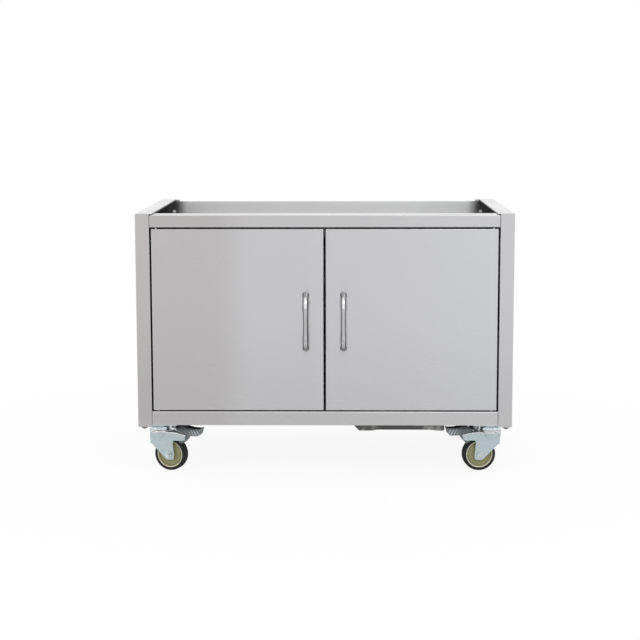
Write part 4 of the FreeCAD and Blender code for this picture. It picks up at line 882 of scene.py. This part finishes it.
@dataclass
class Cabinet:
    """Folded body of the cart."""

    rail_colour: Colour = (0.585, 0.580, 0.578)
    side_colour: Colour = (0.602, 0.595, 0.594)
    floor_colour: Colour = (0.60, 0.60, 0.60)
    tray_colour: Colour = (0.54, 0.54, 0.54)
    back_colour: Colour = (0.715, 0.715, 0.715)
    well_shade_colour: Colour = (0.07, 0.07, 0.074)
    grommet_colour: Colour = (0.018, 0.018, 0.018)
    nylon_colour: Colour = (0.022, 0.022, 0.023)
    ferrite_colour: Colour = (0.05, 0.048, 0.046)

    def dress_sheets(self) -> None:
        """Give every stainless sheet its finish."""
        # Side panels: painted shade on their inner faces over the tray, and a faint painted highlight on
        # their flanges.
        for side, inward in zip(SIDES, (1.0, -1.0)):
            post = BrushedSteel("brushed_side_" + side, self.side_colour, Grain.UPRIGHT, Grain.DEEP,
                                roughness=0.34, spread=0.35, inward=(inward, 0.0, 0.0), painted_side_shade=0.88,
                                painted_flange_light=0.03)
            dress(["side_panel_" + side], post.material())
        # Rails: painted highlight on their folds, strong on the bottom rail.
        for level, painted_fold_light in (("top", 0.05), ("bottom", 1.1)):
            rail = BrushedSteel("brushed_" + level + "_rail", self.rail_colour, Grain.LEVEL, turn=0.25,
                                painted_fold_light=painted_fold_light)
            dress(["front_" + level + "_rail"], rail.material())
        # Back panel: painted shade at both ends of its face in the recess.
        back = BrushedSteel("brushed_back", self.back_colour, Grain.LEVEL, roughness=0.42, spread=0.3,
                            turn=0.25, painted_end_shade=0.85)
        floor = BrushedSteel("mill_inner_sheet", self.floor_colour, Grain.LEVEL, roughness=0.42,
                             spread=0.0)
        tray = BrushedSteel("mill_tray_sheet", self.tray_colour, Grain.LEVEL, roughness=0.48,
                            spread=0.0)
        dress(["back_panel"], back.material())
        dress(["floor_panel"], floor.material())
        dress(["top_tray"], tray.material())

    def dress_fittings(self) -> None:
        """Give the well, the moulded and the magnetic pieces their finish."""
        # Tank well: black as painted shade under the floor.
        shaded_well = Moulded("painted_shade_well", self.well_shade_colour, 0.35, contrast=0.2)
        nylon = Moulded("black_nylon", self.nylon_colour, 0.5)
        dress(["tank_well"], shaded_well.material())
        dress(["hose_grommet"], Moulded("grommet_rubber", self.grommet_colour, 0.6).material())
        dress(["pivot_bushings", "catch_housing"], nylon.material())
        dress(["catch_magnets"], Moulded("bare_ferrite", self.ferrite_colour, 0.7).material())

    def dress(self) -> None:
        """Give every piece of the body its finish."""
        self.dress_sheets()
        self.dress_fittings()


@dataclass
class Doors:
    """Two double-skinned doors with their handles."""

    skin_colour: Colour = (0.612, 0.610, 0.613)
    liner_colour: Colour = (0.56, 0.56, 0.56)
    handle_colour: Colour = (0.55, 0.55, 0.55)

    def dress(self) -> None:
        """Give every piece of both doors its finish."""
        skin = BrushedSteel("brushed_doors", self.skin_colour, Grain.LEVEL, turn=0.25)
        liner = BrushedSteel("brushed_liners", self.liner_colour, Grain.LEVEL, roughness=0.4, turn=0.25)
        # Handles: painted shade on flanks and undersides, painted highlight on the upper shoulders.
        handle = SatinCasting("satin_handles", self.handle_colour, 0.16, painted_flank_shade=0.8, painted_shoulder_light=0.66)
        dress(["door_skin_" + side for side in SIDES], skin.material())
        dress(["door_liner_" + side for side in SIDES], liner.material())
        dress([part + side for part in ("handle_feet_", "handle_tube_") for side in SIDES],
              handle.material())


@dataclass
class Casters:
    """Four swivel casters, the front two braked."""

    yoke_colour: Colour = (0.540, 0.618, 0.645)
    # plate and cup zinc made lighter as a painted highlight
    plate_highlight_colour: Colour = (0.760, 0.825, 0.850)
    # height under which the plate's cup carries painted shade
    cup_shade_span: Span = (0.0995, 0.1015)
    rivet_reach: float = 0.043
    rivet_radius: float = 0.0046

    def joint_line(self, child: str) -> tuple[Point, Point]:
        """Place and axis of the joint that carries a body.

        Args:
            child: the body's name.

        Returns:
            A point on the joint's axis and its direction.
        """
        joint = next(j for j in frame["joints"] if j["child"] == child)
        return tuple(joint["pos_m"]), tuple(joint["axis"])

    def dress(self) -> None:
        """Give every caster piece its finish."""
        # Plates: zinc lightened as a painted highlight on the cup, with painted shade below its rim.
        plate = PlatedSteel("zinc_plate", self.plate_highlight_colour, 0.26, contrast=0.08,
                            shade_below=self.cup_shade_span).material()
        # Yokes: painted highlight along the tops of their arms.
        yoke = PlatedSteel("zinc_yoke", self.yoke_colour, 0.3, contrast=0.14, painted_top_light=1.5).material()
        for corner in Corner:
            name = corner.value
            dress(["caster_plate_" + name], plate)
            dress(["caster_yoke_" + name], yoke)
            centre, axis = self.joint_line("wheel_" + name)
            dress(["caster_hub_" + name], WheelCentre("wheel_centre_" + name, centre, axis).material())
            dress(["caster_tyre_" + name], TyreRubber("tyre_rubber_" + name, centre, axis).material())
            dress(["caster_axle_" + name], AxleSteel("axle_steel_" + name, centre, axis).material())
            if corner.braked:
                self.dress_brake(name, centre)

    def dress_brake(self, name: str, wheel: Point) -> None:
        """Finish the brake of one caster.

        Args:
            name: the caster's corner.
            wheel: centre of its wheel, which lies behind the swivel axis.
        """
        swivel, _ = self.joint_line("swivel_" + name)
        behind = Vector(wheel) - Vector(swivel)
        behind.z = 0.0
        heading = behind.normalized()
        rivet = Vector(swivel) + heading * self.rivet_reach
        pedal = StampedPedal("stamped_pedal_" + name, swivel, tuple(heading))
        spring = RivetedSpring("riveted_spring_" + name, tuple(rivet), self.rivet_radius)
        dress(["brake_pedal_" + name], pedal.material())
        dress(["brake_spring_" + name], spring.material())


@dataclass
class Hardware:
    """Screws, bolts, pins and balls."""

    zinc: Colour = (0.62, 0.63, 0.63)
    shade_dark_zinc: Colour = (0.26, 0.27, 0.27)
    shiny_zinc: Colour = (0.90, 0.91, 0.91)
    ball_colour: Colour = (0.68, 0.68, 0.68)

    def dress(self) -> None:
        """Give every small metal piece its finish."""
        bright = PlatedSteel("bright_fasteners", self.zinc, 0.28, cell_scale=900.0).material()
        # Caster bolts and nuts: zinc darkened as painted shade under the cart.
        shade_dark_bolts = PlatedSteel("shade_dark_caster_bolts", self.shade_dark_zinc, 0.42, cell_scale=700.0,
                           contrast=0.3).material()
        shiny = PlatedSteel("shiny_panel_bolts", self.shiny_zinc, 0.24, metallic=0.35, cell_scale=700.0,
                            contrast=0.2).material()
        dress(["back_panel_bolts"], shiny)
        dress(["caster_bolts", "caster_nuts"], shade_dark_bolts)
        names = ["rail_screws", "tray_screws", "caster_king_pins", "tank_clamp_screw"]
        names += ["brake_pin_" + corner.value for corner in Corner if corner.braked]
        for part in ("door_pivot_pins_", "handle_screws_", "catch_plate_"):
            names += [part + side for side in SIDES]
        dress(names, bright)
        dress(["swivel_balls"], SatinCasting("polished_balls", self.ball_colour, 0.14).material())


@dataclass
class FloorTrough:
    """Pressed trough that stiffens the floor's front edge ahead of the bottle's well.

    The photograph shows it as a dark strip under the bottom rail. Its left end slopes, its right end
    is upright, its underside is a little higher in the middle, and its rim is just under the rail's
    flange. It is pressed a little taller than its rim and trimmed level there.
    """

    front: float = -0.205
    back: float = -0.175
    rim: float = 0.1169
    trim: float = 0.0030
    foot: float = 0.0930
    middle: float = 0.0952
    left_end: float = 0.0612
    right_end: float = 0.2908
    left_slope: float = 0.0241
    left_foot: float = 0.0590
    left_rise: float = 0.0660
    right_rise: float = 0.0350
    right_foot: float = 0.0200
    sheet: float = 0.0015
    fold: float = 0.0028
    fold_segments: int = 4
    tolerance: float = 1e-6

    def profile(self) -> list[tuple[float, float]]:
        """Draw the front wall.

        Returns:
            Its corners as (x, z), from the left end of the rim round to the right end.
        """
        left, right, top = self.left_end - self.trim, self.right_end, self.rim + self.trim
        return [(left, top), (left + self.left_slope, self.foot), (left + self.left_foot, self.foot),
                (left + self.left_rise, self.middle), (right - self.right_rise, self.middle),
                (right - self.right_foot, self.foot), (right, self.foot), (right, top)]

    def folded(self) -> bmesh.types.BMesh:
        """Fold the walls and the bottom round, open at the top.

        Returns:
            The sheet without its thickness.
        """
        shape = bmesh.new()
        wall = shape.faces.new([shape.verts.new((x, self.front, z)) for x, z in self.profile()])
        grown = bmesh.ops.extrude_face_region(shape, geom=[wall], use_keep_orig=True)
        moved = [item for item in grown["geom"] if isinstance(item, bmesh.types.BMVert)]
        bmesh.ops.translate(shape, verts=moved, vec=(0.0, self.back - self.front, 0.0))
        top = self.rim + self.trim
        lid = [face for face in shape.faces
               if all(abs(vert.co.z - top) < self.tolerance for vert in face.verts)]
        bmesh.ops.delete(shape, geom=lid, context="FACES_ONLY")
        folds = [edge for edge in shape.edges if len(edge.link_faces) == 2]
        bmesh.ops.bevel(shape, geom=folds, offset=self.fold, segments=self.fold_segments, profile=0.5,
                        affect="EDGES", material=-1, clamp_overlap=True)
        bmesh.ops.recalc_face_normals(shape, faces=shape.faces)
        return shape

    def trimmed(self, shape: bmesh.types.BMesh) -> None:
        """Cut the walls level at the rim and close the cut between their two sides.

        Args:
            shape: the sheet with its thickness.
        """
        everything = shape.verts[:] + shape.edges[:] + shape.faces[:]
        done = bmesh.ops.bisect_plane(shape, geom=everything, plane_co=(0.0, 0.0, self.rim),
                                      plane_no=UPWARD, clear_outer=True)
        cut = [item for item in done["geom_cut"] if isinstance(item, bmesh.types.BMEdge)]
        bmesh.ops.bridge_loops(shape, edges=cut)
        bmesh.ops.recalc_face_normals(shape, faces=shape.faces)

    def dress(self) -> None:
        """Press the trough, give it its finish and hang it from the cabinet."""
        shape = self.folded()
        bmesh.ops.solidify(shape, geom=shape.faces[:], thickness=self.sheet)
        self.trimmed(shape)
        steel = TroughSteel("dark_trough", centre=0.5 * (self.left_end + self.right_end))
        piece = finished("floor_trough", shape, steel.material())
        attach(piece, "cabinet")
        LOG.info("%s has %d faces", piece.name, len(piece.data.polygons))


# Studio

@dataclass
class Softbox:
    """One soft area lamp."""

    name: str
    place: Point
    target: Point
    width: float
    height: float
    watts: float
    colour: Colour = WHITE

    def build(self) -> None:
        """Hang the lamp and turn it to its target."""
        data = bpy.data.lights.new(self.name, "AREA")
        data.shape = "RECTANGLE"
        data.size, data.size_y = self.width, self.height
        data.energy, data.color = self.watts, self.colour
        lamp = placed(self.name, data)
        aim = Vector(self.target) - Vector(self.place)
        lamp.location = self.place
        lamp.rotation_euler = aim.to_track_quat("-Z", "Y").to_euler()


@dataclass(frozen=True)
class ReflectorCard:
    """Upright card ahead of the cart that only reflections show.

    It is dimmer on the left than on the right, and a little dimmer near the floor.
    """

    distance: float = 0.66
    left_end: float = -0.75
    right_end: float = 0.75
    height: float = 0.8
    left_edge: Span = (-0.284, -0.214)
    right_fade: Span = (0.0, 0.5)
    left_tint: Colour = (0.830, 0.810, 0.813)
    middle_tint: Colour = (0.945, 0.937, 0.955)
    right_tint: Colour = (0.965, 0.975, 1.000)
    rise: Span = (-0.02, 0.34)
    darkest: float = 0.80

    def build(self) -> None:
        """Stand the card up."""
        shape = bmesh.new()
        y = -self.distance
        corners = [(self.left_end, y, 0.0), (self.right_end, y, 0.0),
                   (self.right_end, y, self.height), (self.left_end, y, self.height)]
        shape.faces.new([shape.verts.new(corner) for corner in corners])
        card = finished("reflector_card", shape, self.material())

    def material(self) -> bpy.types.Material:
        """Light glossy rays alone and let every other ray through.

        Returns:
            The card's material.
        """
        material, shader = Shader.of_material("reflector_card")
        across = shader.along(shader.place(), RIGHTWARD)
        height = shader.along(shader.place(), UPWARD)
        right = shader.blended(across.ramp(*self.right_fade), shader.glow(self.middle_tint),
                               shader.glow(self.right_tint))
        tinted = shader.blended(across.ramp(*self.left_edge), shader.glow(self.left_tint), right)
        lit = self.darkest + height.ramp(*self.rise) * (1.0 - self.darkest)
        card = shader.blended(lit, shader.glow(WHITE, 0.0), tinted)
        clear = shader.node("ShaderNodeBsdfTransparent").outputs[0]
        seen = shader.blended(shader.ray("Is Glossy Ray"), clear, card)
        shader.node("ShaderNodeOutputMaterial", None, {"Surface": seen})
        return material


@dataclass
class Studio:
    """Pale floor, white surroundings, soft lamps and the camera."""

    floor_half: float = 14.0
    floor_colour: Colour = (0.86, 0.86, 0.86)
    near_white: float = 0.90
    near_reflected: float = 0.50
    whitening: Span = (0.45, 1.7)
    room_light: Colour = (0.86, 0.86, 0.87)
    camera_place: Point = (0.05191, -4.05121, 0.89464)
    camera_yaw: float = -0.0166
    camera_pitch: float = 0.1366
    camera_roll: float = 0.0019
    focal_pixels: float = 1605.13
    image_width: float = 640.0
    sensor: float = 36.0
    lamps: list[Softbox] = field(default_factory=lambda: [
        Softbox("key_softbox", (1.7, -2.6, 2.6), (0.0, 0.0, 0.3), width=3.0, height=2.2, watts=30.0,
                colour=(0.97, 0.985, 1.0)),
        Softbox("fill_softbox", (-2.4, -2.2, 1.6), (0.0, 0.0, 0.3), width=1.6, height=1.6, watts=10.0,
                colour=(1.0, 0.985, 0.975)),
        Softbox("top_softbox", (0.0, 2.4, 2.7), (0.0, 0.0, 0.6), width=3.0, height=1.4, watts=15.0),
    ])

    def seen_directly(self, shader: Shader) -> Value:
        """Pick the rays that show the surroundings: from the camera, in a reflection or through glass.

        Args:
            shader: the node tree that asks.

        Returns:
            1 for these rays, 0 for others.
        """
        camera_or_glossy = shader.ray("Is Camera Ray").or_more(shader.ray("Is Glossy Ray"))
        return camera_or_glossy.or_more(shader.ray("Is Transmission Ray"))

    def build_floor(self) -> None:
        """Lay the floor, which keeps the cart's shadow."""
        shape = bmesh.new()
        bmesh.ops.create_grid(shape, x_segments=1, y_segments=1, size=self.floor_half)
        floor = finished("floor", shape, self.floor_material())

    def floor_material(self) -> bpy.types.Material:
        """Build the floor's paint, which whitens with the distance from the cart.

        Returns:
            The floor's material.
        """
        material, shader = Shader.of_material("studio_floor")
        paint = shader.node("ShaderNodeBsdfDiffuse", None, {"Color": solid(self.floor_colour)})
        from_cart = shader.distance(shader.place(), ORIGIN, UPWARD)
        camera = shader.ray("Is Camera Ray")
        near = self.near_reflected + camera * (self.near_white - self.near_reflected)
        whiteness = near + from_cart.ramp(*self.whitening) * (1.0 - near)
        share = self.seen_directly(shader) * whiteness
        seen = shader.blended(share, paint.outputs[0], shader.glow(WHITE))
        shader.node("ShaderNodeOutputMaterial", None, {"Surface": seen})
        return material

    def build_room(self) -> None:
        """Set the world: white where it is seen, plain soft light elsewhere."""
        world = bpy.data.worlds.new("studio_room")
        world.use_nodes = True
        shader = Shader(world.node_tree)
        light = shader.node("ShaderNodeBackground", None, {"Color": solid(self.room_light)})
        white = shader.node("ShaderNodeBackground", None, {"Color": solid(WHITE)})
        seen = shader.blended(self.seen_directly(shader), light.outputs[0], white.outputs[0])
        shader.node("ShaderNodeOutputWorld", None, {"Surface": seen})
        bpy.context.scene.world = world

    def build_camera(self) -> None:
        """Place the camera where the photograph was taken from."""
        yaw, pitch, roll = self.camera_yaw, self.camera_pitch, self.camera_roll
        ahead = Vector((math.sin(yaw) * math.cos(pitch), math.cos(yaw) * math.cos(pitch),
                        -math.sin(pitch)))
        right = Vector((math.cos(yaw), -math.sin(yaw), 0.0))
        down = ahead.cross(right)
        level = right * math.cos(roll) + down * math.sin(roll)
        below = down * math.cos(roll) - right * math.sin(roll)
        data = bpy.data.cameras.new("photo_camera")
        data.sensor_width = self.sensor
        data.lens = self.focal_pixels * self.sensor / self.image_width
        camera = placed("photo_camera", data)
        axes = Matrix((level, -below, -ahead)).transposed().to_4x4()
        camera.matrix_world = Matrix.Translation(self.camera_place) @ axes
        bpy.context.scene.camera = camera

    def build(self) -> None:
        """Build the whole studio."""
        bpy.context.scene.view_settings.view_transform = "Standard"
        self.build_camera()
        self.build_floor()
        self.build_room()
        ReflectorCard().build()
        for lamp in self.lamps:
            lamp.build()


def main() -> None:
    """Build the studio and dress the cart."""
    logging.basicConfig(level=logging.INFO, format="%(name)s: %(message)s")
    Studio().build()
    for part in (Cabinet(), Doors(), Casters(), Hardware(), FloorTrough()):
        part.dress()
        LOG.info("%s dressed", type(part).__name__)


if __name__ == "__main__":
    main()
